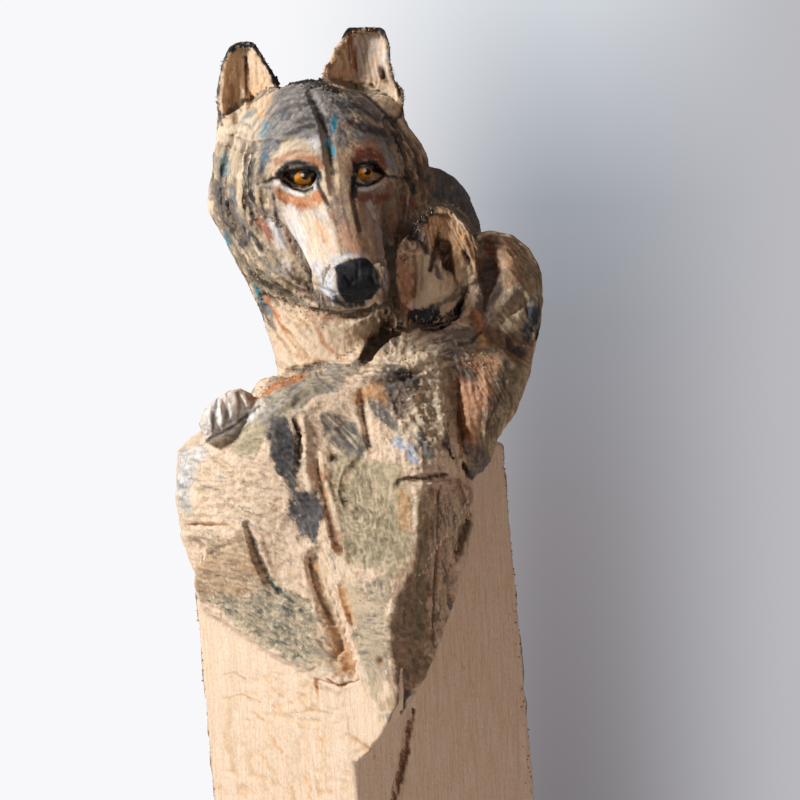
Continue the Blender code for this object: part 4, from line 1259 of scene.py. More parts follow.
# patches: how much is covered, stroke size (gap, half length, half width), shares of colours, outline
patches = {
    "upper head ground": (0.8, (4.5, 10, 2.2), {"sand": 4, "peach": 2, "greyBrown": 1, "grey": 3,
        "cream": 2}, -178,790, -171,740, -146,685, -122,660, -54,640, 0,648, 30,690, 50,755, 50,802, 22,850,
        -10,872, -63,882, -107,878, -134,838, -165,825),
    "forehead": (0.95, (4.5, 11, 2), {"grey": 3, "paleGrey": 5, "darkGrey": 3, "greyBrown": 1,
        "blueGrey": 1}, -130,826, -118,850, -104,872, -84,880, -63,880, -39,868, -12,862, 8,838, 20,812,
        22,786, 8,792, -4,815, -34,828, -40,800, -50,784, -60,800, -64,815, -99,822, -116,800, -128,800),
    "left ruff": (0.85, (5, 13, 2.4), {"greyBrown": 2, "darkGrey": 2, "sand": 4, "blueGrey": 1, "khaki": 2,
        "peach": 3, "cream": 2}, -178,790, -169,740, -162,720, -144,685, -122,662, -92,655, -86,672,
        -114,708, -122,745, -122,800, -132,828, -159,818, -174,805),
    "right ruff": (0.85, (5, 13, 2.4), {"greyBrown": 3, "tan": 3, "charcoal": 2, "olive": 1, "brown": 3,
        "peach": 1}, 8,840, 47,802, 50,755, 41,720, 26,706, 14,735, 20,770, 18,800, 4,820),
    "right cheek": (0.95, (4.5, 11, 2), {"tan": 2, "salmon": 2, "paleGrey": 2, "greyBrown": 3,
        "redBrown": 1, "brown": 1}, -31,765, 2,778, 24,780, 34,750, 24,715, 10,690, -4,698, -12,720,
        -24,740),
    "left cheek": (0.95, (4.5, 12, 2), {"white": 4, "cream": 3, "peach": 2, "salmon": 1}, -120,752,
        -106,764, -84,752, -62,756, -50,730, -46,704, -66,698, -84,672, -104,696, -120,722),
    "bridge": (0.95, (4, 11, 1.8), {"tan": 3, "greyBrown": 3, "sand": 2, "grey": 1, "salmon": 2}, -60,800,
        -52,812, -42,815, -30,790, -26,745, -12,706, -40,704, -50,735, -56,765),
    "neck": (0.7, (6, 16, 2.6), {"cream": 7, "peach": 3, "honey": 1}, -122,655, -60,646, 0,650, 22,690,
        24,640, 10,600, -30,585, -70,583, -97,588, -118,638),
    "left ear brown wall": (0.9, (4, 14, 2), {"sand": 4, "honey": 2, "tan": 2, "cream": 2}, -160,903,
        -142,912, -138,890, -138,862, -142,836, -158,836, -164,865),
    "left ear lit wall": (0.8, (4, 14, 2), {"cream": 3, "peach": 4, "honey": 2, "tan": 1}, -137,908,
        -127,904, -116,878, -117,840, -136,842, -138,870),
    "left ear root": (0.8, (4, 9, 2), {"cream": 5, "sand": 2, "paleGrey": 2, "peach": 1}, -163,838,
        -142,842, -118,840, -122,818, -150,816, -160,822),
    "right ear left wall": (0.9, (4, 14, 2), {"cream": 4, "honey": 4, "orange": 1}, -46,918, -33,926,
        -30,905, -29,883, -54,873, -64,882, -58,900),
    "right ear right wall": (0.85, (4, 14, 2), {"white": 4, "cream": 5, "honey": 3}, -32,928, -3,928, 4,895,
        10,880, -16,878, -29,888),
    "right ear lobe": (0.9, (4, 9, 2), {"cream": 4, "peach": 3, "sand": 1}, -18,880, 6,884, 18,860, 14,842,
        -6,852, -20,870),
    "upper back": (0.95, (5, 13, 2.6), {"darkGrey": 4, "grey": 3, "blueGrey": 2, "greyBrown": 2}, 46,796,
        84,788, 104,757, 106,722, 86,718, 70,745, 56,758, 46,748),
    "lower ear": (0.85, (4, 12, 2), {"honey": 2, "peach": 3, "cream": 6}, 28,730, 43,754, 60,753, 90,722,
        98,690, 86,668, 68,650, 40,652, 14,658, 12,715),
    "lower ear top": (0.95, (3, 12, 1.2), {"tan": 2, "honey": 4, "peach": 3, "redBrown": 1}, 42,752, 60,753,
        78,740, 94,716, 96,696, 84,690, 74,700, 56,712, 46,712, 40,732),
    "stained left plane": (0.08, (6, 20, 3), {"peach": 3, "honey": 2, "cream": 2}, -130,300, -70,270,
        -50,230, -60,150, -140,150, -150,240),
    "lower ear pale panel": (0.95, (4, 12, 2), {"cream": 6, "peach": 2}, 33,710, 49,704, 52,662, 36,654,
        30,680),
    "lower head": (0.95, (4.5, 10, 2.2), {"greyBrown": 3, "khaki": 2, "tan": 2, "grey": 2, "olive": 1,
        "sand": 1}, 86,722, 106,729, 128,724, 147,706, 158,685, 161,655, 151,628, 148,590, 141,570, 125,545,
        112,525, 104,503, 98,483, 84,481, 76,530, 70,580, 60,604, 92,640, 98,680),
    "lower brow": (0.9, (4, 8, 1.8), {"brown": 3, "redBrown": 2, "greyBrown": 3, "sand": 1}, 88,724,
        106,728, 122,720, 112,706, 98,704),
    # the lower brow hollow is laid very dark: dark paint and painted shade
    "lower brow hollow with painted shade": (1, (4, 8, 1.8), {"charcoal": 4, "darkBrown": 3, "soot": 2, "redBrown": 1}, 92,704,
        112,704, 122,688, 118,668, 108,650, 98,652, 94,676),
    "lower brow streaks": (0.85, (4, 11, 1.6), {"tan": 3, "salmon": 3, "greyBrown": 2, "sand": 1,
        "honey": 1}, 112,720, 130,720, 142,704, 136,678, 122,672, 118,690, 110,706),
    "lower temple": (0.9, (4, 8, 1.8), {"khaki": 3, "olive": 3, "greyBrown": 2, "tan": 1}, 132,720, 146,706,
        158,684, 160,650, 150,640, 142,664, 140,690),
    "lower eye fold": (0.9, (4, 9, 1.6), {"greyBrown": 4, "grey": 2, "sand": 1, "tan": 1}, 102,640, 112,660,
        134,676, 138,664, 122,648, 110,632),
    "lower eye facet": (0.9, (4, 8, 1.6), {"khaki": 4, "sand": 3, "greyBrown": 2, "cream": 1}, 112,636,
        128,652, 142,656, 144,640, 132,628, 118,628),
    "lower jaw": (0.9, (4, 12, 1.6), {"greyBrown": 4, "brown": 2, "tan": 2, "khaki": 1, "darkGrey": 1},
        96,630, 120,630, 146,626, 150,606, 140,590, 112,588, 98,600),
    "lower muzzle side": (0.95, (3.5, 5, 1.4), {"greyBrown": 4, "olive": 3, "khaki": 2, "brown": 1,
        "tan": 1}, 106,600, 140,600, 146,580, 138,552, 122,528, 104,500, 98,520, 104,560),
    "lower muzzle rim": (0.7, (3.5, 5, 1.4), {"khaki": 4, "sand": 3, "honey": 1}, 138,600, 150,604, 146,574,
        130,540, 112,508, 106,508, 124,540, 138,576),
    "lower speckled": (0.9, (3, 4, 1.3), {"cream": 3, "honey": 3, "greyBrown": 1, "peach": 1}, 76,608,
        112,606, 112,586, 84,582),
    # painted shade: the deep gap of the arm and the channel of the breast get warm orange-brown for the shade
    # and bounced light in them
    "gap of the arm in painted shade": (0.95, (4, 14, 2.2), {"tan": 3, "peach": 3, "honey": 3, "brown": 1}, -72,402, -62,398,
        -56,372, -44,340, -26,298, -30,288, -44,288, -60,296, -66,306, -54,332, -62,360),
    "channel of the breast in painted shade": (0.9, (4, 12, 1.8), {"tan": 3, "orange": 2, "brown": 2, "honey": 2}, -68,496,
        -60,494, -52,466, -42,420, -44,404, -52,412, -60,450),
    "nose pad": (0.95, (2.6, 3, 1.3), {"snow": 4, "white": 4, "grey": 1, "charcoal": 1}, -70,700, -56,704,
        -46,700, -50,676, -44,658, -58,654, -68,668),
    "lower salmon band": (0.9, (4, 9, 2), {"salmon": 5, "honey": 2, "peach": 1, "tan": 1}, 74,600, 110,604,
        106,572, 96,540, 90,505, 78,510, 72,560),
    "lower cheek": (0.95, (3.5, 5, 1.6), {"grey": 3, "greyBrown": 3, "cream": 2, "charcoal": 1, "sand": 1},
        38,634, 84,634, 88,604, 64,590, 40,598, 20,620),
    "between head and breast": (0.85, (3.8, 6, 1.8), {"cream": 6, "sand": 2, "peach": 1, "grey": 1}, -2,630,
        40,632, 60,600, 74,540, 66,505, 30,500, 10,530, -4,570),
    "chest right side": (0.55, (5, 14, 2.4), {"greyBrown": 3, "tan": 4, "grey": 1, "sand": 2, "salmon": 1},
        8,390, 30,430, 42,476, 88,482, 90,462, 88,430, 82,404, 67,354, 55,318, 50,306, 41,288, 31,266,
        22,250, 8,300),
    "body ground": (0.14, (5, 9, 2), {"sand": 3, "khaki": 2, "cream": 3, "paleGrey": 1, "tan": 1}, -211,460,
        -206,512, -156,544, -84,589, -32,595, 20,600, 60,560, 70,500, 40,470, 30,300, 10,240, -14,262,
        -45,300, -76,290, -180,352, -188,372, -180,414, -202,425),
    "shoulder top": (0.92, (5, 12, 2.4), {"greyBrown": 1, "grey": 3, "khaki": 4, "paleGrey": 4}, -160,522,
        -156,544, -122,567, -84,590, -30,596, -40,576, -64,566, -86,552, -104,540, -124,520),
    "shoulder khaki": (0.8, (5, 12, 2.4), {"khaki": 4, "sand": 2, "olive": 1}, -156,522, -128,545, -118,530,
        -124,508, -146,508),
    "shoulder leaf": (1, (4, 10, 1.8), {"darkGrey": 5, "charcoal": 3, "grey": 1}, -116,532, -100,547,
        -89,530, -86,498, -91,488, -107,494, -117,512),
    "arm dark patch": (1, (4, 10, 1.8), {"darkGrey": 5, "charcoal": 2, "grey": 2}, -92,470, -66,470,
        -60,450, -64,432, -71,418, -88,425, -92,446),
    "breast slanting patch": (0.95, (4, 12, 1.5), {"darkGrey": 4, "grey": 3, "sand": 2, "greyBrown": 1},
        -62,545, -49,551, -31,532, -15,514, -26,497, -43,509, -54,525),
    "breast top": (0.95, (4, 8, 2.2), {"greyBrown": 3, "darkGrey": 3, "brown": 2, "grey": 1}, -20,580,
        10,586, 32,588, 30,564, 20,544, 4,552, -10,558),
    "breast khaki": (0.75, (4.5, 12, 1.8), {"khaki": 4, "sand": 2, "olive": 4}, -53,506, 11,496, 25,462,
        25,394, 11,384, -39,398, -47,462),
    "arm pale grey": (0.9, (5, 12, 2.4), {"paleGrey": 3, "white": 4, "cream": 2}, -205,508, -181,518,
        -178,506, -193,492, -196,450, -210,450, -209,490),
    "forearm brown facet": (0.85, (4, 12, 1.6), {"tan": 4, "greyBrown": 1, "sand": 4, "peach": 1}, -180,417,
        -140,427, -129,410, -117,378, -139,362, -179,358, -189,374, -186,394),
    # green paint on the forearm's underside, laid darker with teal as painted shade on that downward facet
    "forearm green with painted shade": (0.6, (5, 5, 2.3), {"khaki": 3, "teal": 3, "sand": 4}, -182,360, -165,368, -139,362,
        -123,372, -99,366, -72,358, -62,310, -56,300, -71,291, -99,303, -135,325, -163,347),
    "chest stripes": (0.6, (5, 11, 1.5), {"greyBrown": 3, "grey": 2, "khaki": 3, "sand": 3}, -38,376, 6,384,
        8,300, -8,262, -24,290, -34,340),
    "chest right facet": (0.6, (5, 12, 2.4), {"brown": 2, "greyBrown": 3, "tan": 3, "olive": 1}, 8,384,
        30,400, 44,440, 42,300, 18,246, 2,256, 8,300),
    "paw": (0.95, (4, 8, 2), {"white": 6, "cream": 4}, -187,520, -182,552, -168,566, -144,575, -126,562,
        -124,548, -158,522, -176,514),
}

# strokes: width, colour, strength, places of the line
strokes = [
    # ears
    (9, "black", 0.95, -163,903, -157,911, -143,917, -130,917, -120,904, -107,880),
    (6, "charcoal", 0.7, -159,905, -166,885, -168,862, -163,836),
    (3.5, "darkBrown", 0.8, -139,903, -137,885, -138,866),
    (7, "brown", 0.6, -152,872, -152,852, -150,842),
    (3.5, "darkBrown", 0.8, -146,846, -147,838),
    (6, "cream", 0.9, -144,868, -140,850, -144,838),
    (9, "black", 0.95, -40,926, -24,933, -2,933, 5,922, 8,902),
    (4, "darkBrown", 0.85, 6,896, 10,881, 18,878, 21,858, 17,846, 10,838),
    (4.5, "rust", 0.85, -33,925, -31,907, -29,890),
    (3, "darkBrown", 0.7, -36,920, -34,900),
    (6, "darkBrown", 0.9, -3,892, 1,879),
    (5, "darkBrown", 0.85, 13,878, 18,861),
    (4, "brown", 0.9, -13,875, -9,873),
    (4, "charcoal", 0.85, -66,880, -46,872, -20,868, 2,848, 12,838),
    (8, "greyBrown", 0.7, -58,886, -62,876),
    (9, "soot", 0.85, -108,880, -92,884, -70,882, -58,874),
    # forehead and furrow
    (4.4, "soot", 0.8, -76,870, -68,854, -60,838, -56,822, -53,800, -51,786),
    (9, "soot", 0.9, -63,842, -58,837, -54,830),
    (6, "soot", 0.6, -55,824, -53,805),
    (5, "turquoise", 0.95, -49,844, -51,830),
    (3.4, "turquoise", 0.9, -57,821, -57,814),
    (4, "turquoise", 0.9, -51,813, -50,805),
    (6, "turquoise", 0.6, -118,838, -121,824),
    (5, "turquoise", 0.5, -140,842, -128,850),
    (7, "blueGrey", 0.9, -118,815, -119,803, -123,790),
    (8, "turquoise", 0.6, -160,806, -158,788),
    (7, "navy", 0.7, -166,800, -164,770, -156,745),
    (7, "charcoal", 0.8, -106,818, -90,828, -72,834),
    (6, "paleGrey", 0.6, -100,862, -84,868, -68,862),
    (5, "darkGrey", 0.7, -110,845, -94,855, -76,856),
    (5, "paleGrey", 0.5, -104,832, -88,842, -70,846),
    (6, "darkGrey", 0.7, -40,856, -20,852, -2,838),
    (6, "sand", 0.7, -36,846, -18,842, -4,836),
    (8, "charcoal", 0.8, -34,838, -16,832, 2,826),
    (5, "charcoal", 0.8, -4,852, 12,832, 22,800),
    (9, "navy", 0.95, 8,820, 14,808),
    (5, "darkGrey", 0.7, -130,812, -134,790),
    (4, "soot", 0.6, -90,838, -76,842),
    (6, "soot", 0.6, -48,858, -36,848),
    (4, "paleGrey", 0.6, -26,866, -8,856),
    (4, "rust", 0.5, -44,832, -30,838),
    # brows and round the eyes
    (10, "cream", 0.9, -108,802, -98,812, -84,817, -68,816),
    (7, "white", 0.95, -74,818, -68,822, -68,810),
    (9, "salmon", 0.9, -106,798, -94,806, -76,804, -64,794),
    (5, "orange", 0.7, -86,805, -74,803, -66,796),
    (6, "peach", 0.8, -112,790, -106,770),
    (6, "paleGrey", 0.7, -88,824, -76,828, -68,824),
    (4, "cream", 0.5, -98,800, -88,806, -70,806),
    (5, "khaki", 0.5, -106,822, -90,822),
    (6, "cream", 0.9, -66,786, -59,774, -54,762),
    (14, "orange", 0.9, -104,766, -90,757, -74,757, -64,764),
    (8, "rust", 0.85, -100,758, -90,752, -78,754),
    (7, "white", 0.95, -109,779, -102,775, -94,771),
    (3.5, "white", 0.95, -98,770, -86,766),
    (5, "black", 1, -106,786, -100,794, -86,797, -74,792, -67,782),
    (3.2, "black", 1, -102,780, -92,772, -80,769, -70,774),
    (3.4, "black", 0.9, -67,777, -61,765, -54,753),
    (9, "paleGrey", 0.6, -84,746, -72,748, -62,740),
    (4, "greyBrown", 0.7, -56,750, -48,736),
    (2.4, "white", 0.9, -69,783, -67,779),
    (3.6, "black", 0.95, -127,776, -116,779, -106,783),
    (4, "charcoal", 0.6, -124,774, -114,772),
    (7, "paleGrey", 0.9, -30,826, -22,821, -16,812),
    (7, "peach", 0.8, -34,812, -36,800, -38,788),
    (8, "salmon", 0.85, -28,812, -14,815, -4,808),
    (11, "redBrown", 0.95, -29,801, -18,807, -5,805, 0,795),
    (11, "paleGrey", 0.85, 1,812, 9,800, 10,786),
    (5, "black", 1, -31,786, -26,793, -17,796, -4,790),
    (4.6, "black", 1, -29,790, -31,776, -29,764),
    (3, "black", 0.9, -27,777, -19,773, -8,778),
    (3.4, "black", 0.9, -5,789, 3,784, 24,782),
    (10, "redBrown", 0.75, -22,763, -10,760, 2,764),
    (8, "white", 0.7, -14,756, -8,744),
    (9, "black", 0.85, 26,786, 30,768),
    (6, "redBrown", 0.6, 30,760, 34,740, 30,722),
    (5, "darkBrown", 0.6, 14,770, 18,740, 14,716),
    (4, "tan", 0.5, 2,776, 14,760, 18,744),
    (6, "charcoal", 0.7, 32,800, 40,780),
    # bridge, muzzle and nose
    (6, "darkBrown", 0.8, -32,768, -30,750, -24,730),
    (6, "sand", 0.8, -40,795, -37,760, -30,725),
    (5, "greyBrown", 0.8, -50,770, -46,745, -40,722),
    (14, "salmon", 0.7, -38,735, -32,718, -26,708),
    (12, "white", 0.85, -94,752, -88,728, -82,710),
    (12, "cream", 0.9, -76,746, -68,716, -58,698),
    (8, "honey", 0.8, -66,738, -60,720),
    (11, "white", 0.95, -114,738, -100,716),
    (10, "rust", 0.85, -127,742, -114,722),
    (4, "darkBrown", 0.6, -108,752, -104,726, -94,708),
    (3, "darkGrey", 0.5, -44,780, -40,750, -33,722),
    (5, "snow", 0.5, -4,730, 4,716, 8,700),
    (6, "rust", 0.8, -97,728, -91,707),
    (14, "sand", 0.8, -92,700, -78,686, -70,676),
    (3, "black", 0.85, -111,766, -107,734),
    (3, "snow", 0.8, -50,701, -35,705, -20,705),
    (4.5, "white", 0.9, 0,702, 3,686, 1,670),
    (8, "paleGrey", 0.85, -8,735, 0,712, 6,694),
    (5, "soot", 0.9, -52,659, -36,654, -20,655),
    (5, "sand", 0.8, -62,660, -44,648, -20,648),
    # ruff
    (7, "black", 0.95, -136,798, -135,770, -130,742),
    (3.5, "charcoal", 0.8, -124,762, -119,742),
    (7, "cream", 0.9, -145,798, -142,765),
    (7, "darkGrey", 0.8, -172,785, -167,758, -157,735),
    (7, "blueGrey", 0.8, -153,772, -149,748, -140,728),
    (8, "charcoal", 0.9, -153,729, -140,715),
    (8, "charcoal", 0.9, -139,731, -124,713),
    (3, "turquoise", 0.8, -160,728, -156,714),
    (14, "olive", 0.6, -142,698, -120,676, -98,664),
    (8, "paleGrey", 0.5, -130,705, -110,690, -96,680),
    (9, "black", 0.6, -112,678, -102,669, -91,660),
    (8, "brown", 0.8, -86,668, -72,664, -57,660),
    (4.5, "turquoise", 0.95, -130,672, -121,660, -111,646),
    (8, "grey", 0.8, -126,660, -118,643, -112,632),
    (5, "orange", 0.85, -120,664, -108,645, -98,628),
    # dark brown in the recess between the upper muzzle and the lower ear: brown paint and painted shade
    (18, "darkBrown", 0.75, 2,690, 10,650, 2,612),
    (12, "darkBrown", 0.7, -8,625, -16,606, -30,592),
    (4, "honey", 0.7, -96,622, -80,604, -60,596),
    (7, "salmon", 0.6, -76,646, -52,642, -30,644),
    (5, "greyBrown", 0.6, -66,650, -50,652),
    (6, "charcoal", 0.6, -136,690, -128,682, -118,674),
    (5, "soot", 0.6, -156,760, -150,740),
    (4, "cream", 0.7, -132,712, -120,700),
    (4, "orange", 0.6, -70,640, -60,615, -40,600),
    # lower wolf's ear and head
    (12, "black", 0.95, 29,722, 33,736, 40,747, 54,752),
    (7, "black", 0.9, 39,722, 42,708),
    (3, "white", 0.95, 36,734, 37,721),
    (12, "tan", 0.8, 58,750, 68,736),
    # dark paint and painted shade in the lower ear's cavity
    (13, "darkBrown", 0.95, 58,716, 63,702, 68,690),
    (8, "soot", 0.7, 60,706, 64,696),
    (4, "darkBrown", 0.85, 55,726, 50,706, 46,690),
    (3.5, "tan", 0.9, 66,712, 70,700, 73,690),
    (3, "cream", 0.9, 50,690, 57,682, 62,690, 67,686),
    (4, "brown", 0.6, 48,712, 52,728, 60,736),
    (3, "cream", 0.7, 52,710, 49,696, 48,686),
    (3, "cream", 0.8, 59,688, 59,672),
    (3, "sand", 0.7, 64,684, 66,668),
    (5, "darkBrown", 0.8, 50,712, 47,690),
    (6, "tan", 0.85, 68,708, 73,692, 74,678),
    (7, "sand", 0.85, 76,692, 83,676),
    (5, "soot", 0.9, 79,708, 88,688),
    (7, "brown", 0.8, 86,720, 94,698, 95,688),
    (6, "darkGrey", 0.85, 51,692, 56,682),
    (10, "peach", 0.7, 20,700, 20,662),
    (7, "salmon", 0.8, 24,650, 24,628),
    (5, "peach", 0.8, 16,640, 20,624),
    (5, "darkBrown", 0.7, 8,636, 10,618),
    (5, "brown", 0.7, 31,706, 31,686, 29,664),
    (6, "greyBrown", 0.7, 43,652, 61,658, 76,668, 84,682),
    (4, "black", 0.95, 36,633, 61,637, 73,650, 84,668),
    (18, "charcoal", 0.95, 30,644, 42,642, 50,648),
    (5, "blueGrey", 0.4, 36,640, 46,646),
    (5, "grey", 0.6, 50,652, 66,662, 82,676),
    (9, "redBrown", 0.7, 104,710, 110,706),
    (12, "navy", 0.95, 149,660, 149,642, 143,622),
    (5, "soot", 0.9, 161,640, 153,621),
    (11, "charcoal", 0.8, 126,616, 138,606),
    (5, "darkBrown", 0.7, 122,598, 120,568, 102,532),
    (12, "grey", 0.85, 74,593, 87,583),
    (9, "orange", 0.8, 88,648, 94,640, 96,630),
    (6, "tan", 0.6, 78,640, 90,644),
    (8, "honey", 0.9, 95,628, 99,614),
    (4, "soot", 0.9, 70,615, 86,617, 97,628),
    (15, "grey", 0.75, 84,512, 100,500, 92,486),
    (6, "darkBrown", 0.8, 60,528, 73,504, 87,482),
    (6, "brown", 0.8, 73,575, 74,548, 78,515),
    (14, "charcoal", 0.8, 4,592, 28,580),
    # shoulder and breast
    (2.6, "black", 0.85, -90,540, -84,522, -86,496),
    (4, "cream", 0.6, -78,540, -74,516, -78,494),
    (11, "darkGrey", 0.8, -107,494, -96,486, -90,474),
    (14, "honey", 0.8, -27,562, -11,572, -1,560),
    (9, "orange", 0.9, -130,563, -107,577, -84,583),
    (13, "grey", 0.8, -8,554, 10,536),
    (11, "snow", 0.95, 12,519, 25,511, 31,500),
    (6, "cream", 0.95, 22,520, 33,529),
    (3, "darkBrown", 0.85, 14,479, 41,481, 64,485),
    (2.4, "cream", 0.7, 30,474, 52,477),
    (13, "honey", 0.6, 18,465, 20,435),
    (2.4, "darkBrown", 0.75, -23,566, -20,540, -14,514),
    (7, "darkBrown", 0.8, -52,503, -50,501),
    (3, "orange", 0.7, -199,434, -186,437, -166,436),
    (2, "honey", 0.6, -166,436, -149,434),
    (3.2, "greyBrown", 0.8, -137,434, -127,406, -117,384),
    (4, "teal", 0.8, -117,382, -107,370, -91,358),
    (3, "darkBrown", 0.75, -66,490, -60,462, -54,438, -47,416),
    (4, "cream", 0.9, -57,478, -44,430),
    # painted shade: a dark brown line down the gap where the arm meets the chest
    (3.5, "darkBrown", 0.7, -74,402, -70,378, -60,354, -50,336),
    (4, "cream", 0.9, -64,398, -56,366, -42,336, -26,302, -20,284),
    (8, "honey", 0.8, -44,372, -34,340),
    (10, "cream", 0.7, -66,286, -48,294),
    (13, "honey", 0.7, -36,318, -30,288),
    (5, "darkBrown", 0.6, -62,322, -52,312),
    (7, "brown", 0.9, -6,300, -4,296),
    (7, "olive", 0.8, 34,392, 37,350, 34,320),
    (2.4, "cream", 0.8, -62,548, -44,530, -28,512),
    (2, "sand", 0.8, -56,550, -38,530, -22,515),
    # round the eyes once more: black and soot along the upper lids are the painted lid line and, between it
    # and the eye, painted shade under the upper lid
    (6, "black", 0.9, -104,781, -97,789, -85,792, -73,788, -66,780),
    (7, "black", 0.95, -30,782, -24,790, -14,793, -6,790),
    (3, "soot", 0.9, -27,776, -19,774, -9,778),
    (7, "soot", 0.95, -103,787, -95,795, -84,796, -73,793, -66,785),
    (4, "black", 0.95, -100,779, -91,771, -79,768, -69,773),
    (6, "black", 0.95, -29,794, -20,798, -11,796, 0,786),
    (4.4, "black", 1, -29.5,796, -30,780, -28.5,764),
    (3.4, "black", 0.95, -26,774, -18,774, -9,778, 0,784),
    (4, "white", 0.95, -24,770.5, -16,771, -5,776),
    (2.6, "white", 0.95, -69.5,775, -69,771),
    (4, "white", 0.9, -100,775, -92,768, -82,765),
    (4.5, "black", 0.9, -68,792, -64,782, -66,776),
    (3, "soot", 0.8, 56,640, 70,650, 84,672),
    (2.4, "darkBrown", 0.6, 55,470, 55,420, 52,370, 50,312),
    (6, "olive", 0.5, 42,446, 41,400, 38,330),
    (5, "darkBrown", 0.8, 86,446, 79,424, 73,409),
    (3, "sand", 0.7, 90,448, 84,428, 77,412),
    (3, "brown", 0.4, 74,480, 88,444),
    (10, "blueGrey", 0.6, 36,526, 46,504),
    (3, "darkBrown", 0.6, 46,540, 60,520, 84,486),
    (5, "sand", 0.6, 44,545, 52,530, 58,510),
    (3, "cream", 0.8, -12,252, -2,246, 12,250),
    (4, "soot", 0.5, -66,318, -58,308, -48,300),
    # paw
    (2.6, "charcoal", 0.8, -167,562, -170,545, -171,528),
    (3, "greyBrown", 0.7, -158,566, -157,545, -160,530),
    (3, "brown", 0.8, -145,570, -145,552, -146,540),
    (8, "tan", 0.6, -141,568, -130,556),
    (3, "soot", 0.8, -180,518, -149,535, -126,554),
    # trunk
    (8, "brown", 0.75, 28,248, 23,212, 15,180, 8,150, -4,100),
    (3, "darkBrown", 0.5, 29,248, 25,212, 17,180, 10,150, -2,100),
    (15, "rust", 0.55, 20,702, 21,680, 18,655, 12,640),
    (2, "tan", 0.7, -160,286, -150,288, -138,281),
    (2, "tan", 0.6, -160,262, -142,266, -124,258),
    (7, "peach", 0.6, -154,262, -157,226, -150,190),
    (2, "tan", 0.5, -100,246, -70,250, -46,246),
    (5, "tan", 0.35, 70,306, 80,292, 90,274),
    (3, "brown", 0.3, 78,264, 98,264),
    (3, "tan", 0.3, 60,334, 66,304, 78,286),
    (5, "sand", 0.4, -180,250, -176,200),
    (6, "charcoal", 0.8, 24,268, 15,248),
    (8, "grey", 0.5, -2,242, 10,240),
    (3, "orange", 0.8, -70,280, -66,262),
    (3, "rust", 0.8, -60,283, -46,273, -26,281),
    (8, "honey", 0.7, -32,222, -10,202),
]
noseOutline = places([-49,693, -34,702, -16,702.5, -6,690, -4,673, -12,660, -24,655, -37,657, -46,670])
backColours = {"darkGrey": 3, "grey": 3, "brown": 1, "sand": 2, "khaki": 1, "greyBrown": 4}


def tone(name):
    return np.array(linear(*colours[name], asSeen))


def meanTone(shares):
    return sum(tone(n) * k for n, k in shares.items()) / sum(shares.values())


def lay(part, where, colour, amount):
    # paint over what is there
    rgb, a = part["rgb"][where], part["cover"][where]
    total = a + amount * (1 - a)
    keep = (a * (1 - amount) / np.maximum(total, 1e-6))[:, None]
    part["rgb"][where] = rgb * keep + colour * (1 - keep)
    part["cover"][where] = total


def mixed(shares, pick, shade):
    names = list(shares)
    edges = np.cumsum([shares[n] for n in names]) / sum(shares.values())
    index = np.clip(np.searchsorted(edges, pick), 0, len(names) - 1)
    return np.stack([tone(n) for n in names])[index] * (0.82 + 0.36 * shade)[:, None]


# Strengths and stroke sizes. "back" is for what the viewer doesn't see: where the paint starts and is whole
# (mm up), strength of its ground and of its strokes, then (seed, share covered, stroke size) of each layer.
painting = {
    "ground": 0.8, "feather": 5.0, "dab": 0.62, "fineDab": (2.6, 7.0, 1.25), "fineStrength": 0.5,
    # the strengths of the darkening in the pits, on paint and on bare wood, are painted shade
    "pitShade": 0.34, "lift": 0.5, "pitShadeOnBareWood": 0.4, "toothHoney": 0.3, "smudge": 0.34, "bark": 0.96, "combs": 0.8,
    "backFrom": (480, 640), "backGround": 0.8, "backDab": 0.55,
    "backLayers": [(81, 0.8, (6.0, 26.0, 2.6)), (82, 0.6, (4.0, 16.0, 1.5))],
}


def layPatch(part, number, cover, size, shares, outline):
    near = nearby(part, outline, 8)
    if not len(near):
        return
    u, w, p = part["u"][near], part["w"][near], part["start"][near]
    feather = painting["feather"] * (1.0 if cover > 0.5 else 1.8)
    wobble = part["rough"][near] * 1.2 + 5.0 * noise(p, 13.0, 89)
    inner = smooth(feather, -feather, insideOutline(outline, u, w) + wobble) * part["front"][near]
    near, inner = near[inner > 0.01], inner[inner > 0.01]
    if not len(near):
        return
    u, w, p = part["u"][near], part["w"][near], part["start"][near]
    streaks = part["streaks"][near]
    drift = 0.5 + 0.5 * noise(p, 16.0, 90 + number)
    ground = mixed(shares, np.clip(drift + 0.25 * noise(p, 6.0, 91 + number), 0, 1), np.full(len(near), 0.5))
    mean = meanTone(shares)
    lay(part, near, mean * 0.55 + ground * 0.45, inner * painting["ground"] * min(1.0, cover * 1.1))
    bristle = smooth(-0.7, 0.35, streaks)
    fine = (101, painting["fineStrength"], painting["fineDab"])
    for seed, strength, dab in ((100, painting["dab"], size), fine):
        one = dabs(u, w, alongFlow, *dab, seed + 2 * number)
        amount = smooth(0.0, 0.7, one[:, 0]) * (one[:, 1] < 0.4 + 0.5 * cover) * inner * bristle * strength
        lay(part, near, mixed(shares, one[:, 2], one[:, 1]), amount)


def layStroke(part, width, colour, strength, path):
    near = nearby(part, path, width)
    if not len(near):
        return
    d, share = nearLine(path, part["u"][near], part["w"][near])
    half = width / 2 * (0.7 + 0.3 * np.sqrt(np.sin(pi * np.clip(share, 0.03, 0.97))))
    wide = min(1.0, width / 8)
    streaks, rough = part["streaks"][near], part["rough"][near]
    edge = d + 0.55 * rough * wide + 1.4 * streaks * wide - half
    soft = 0.6 + 1.6 * wide
    dry = 1 - 0.55 * wide * smooth(0.0, 0.7, streaks + 0.4 * rough / 3)
    amount = smooth(soft, -soft, edge) * strength * dry * smooth(0, 0.2, part["front"][near])
    lay(part, near, tone(colour) * (0.92 + 0.22 * streaks)[:, None], amount)


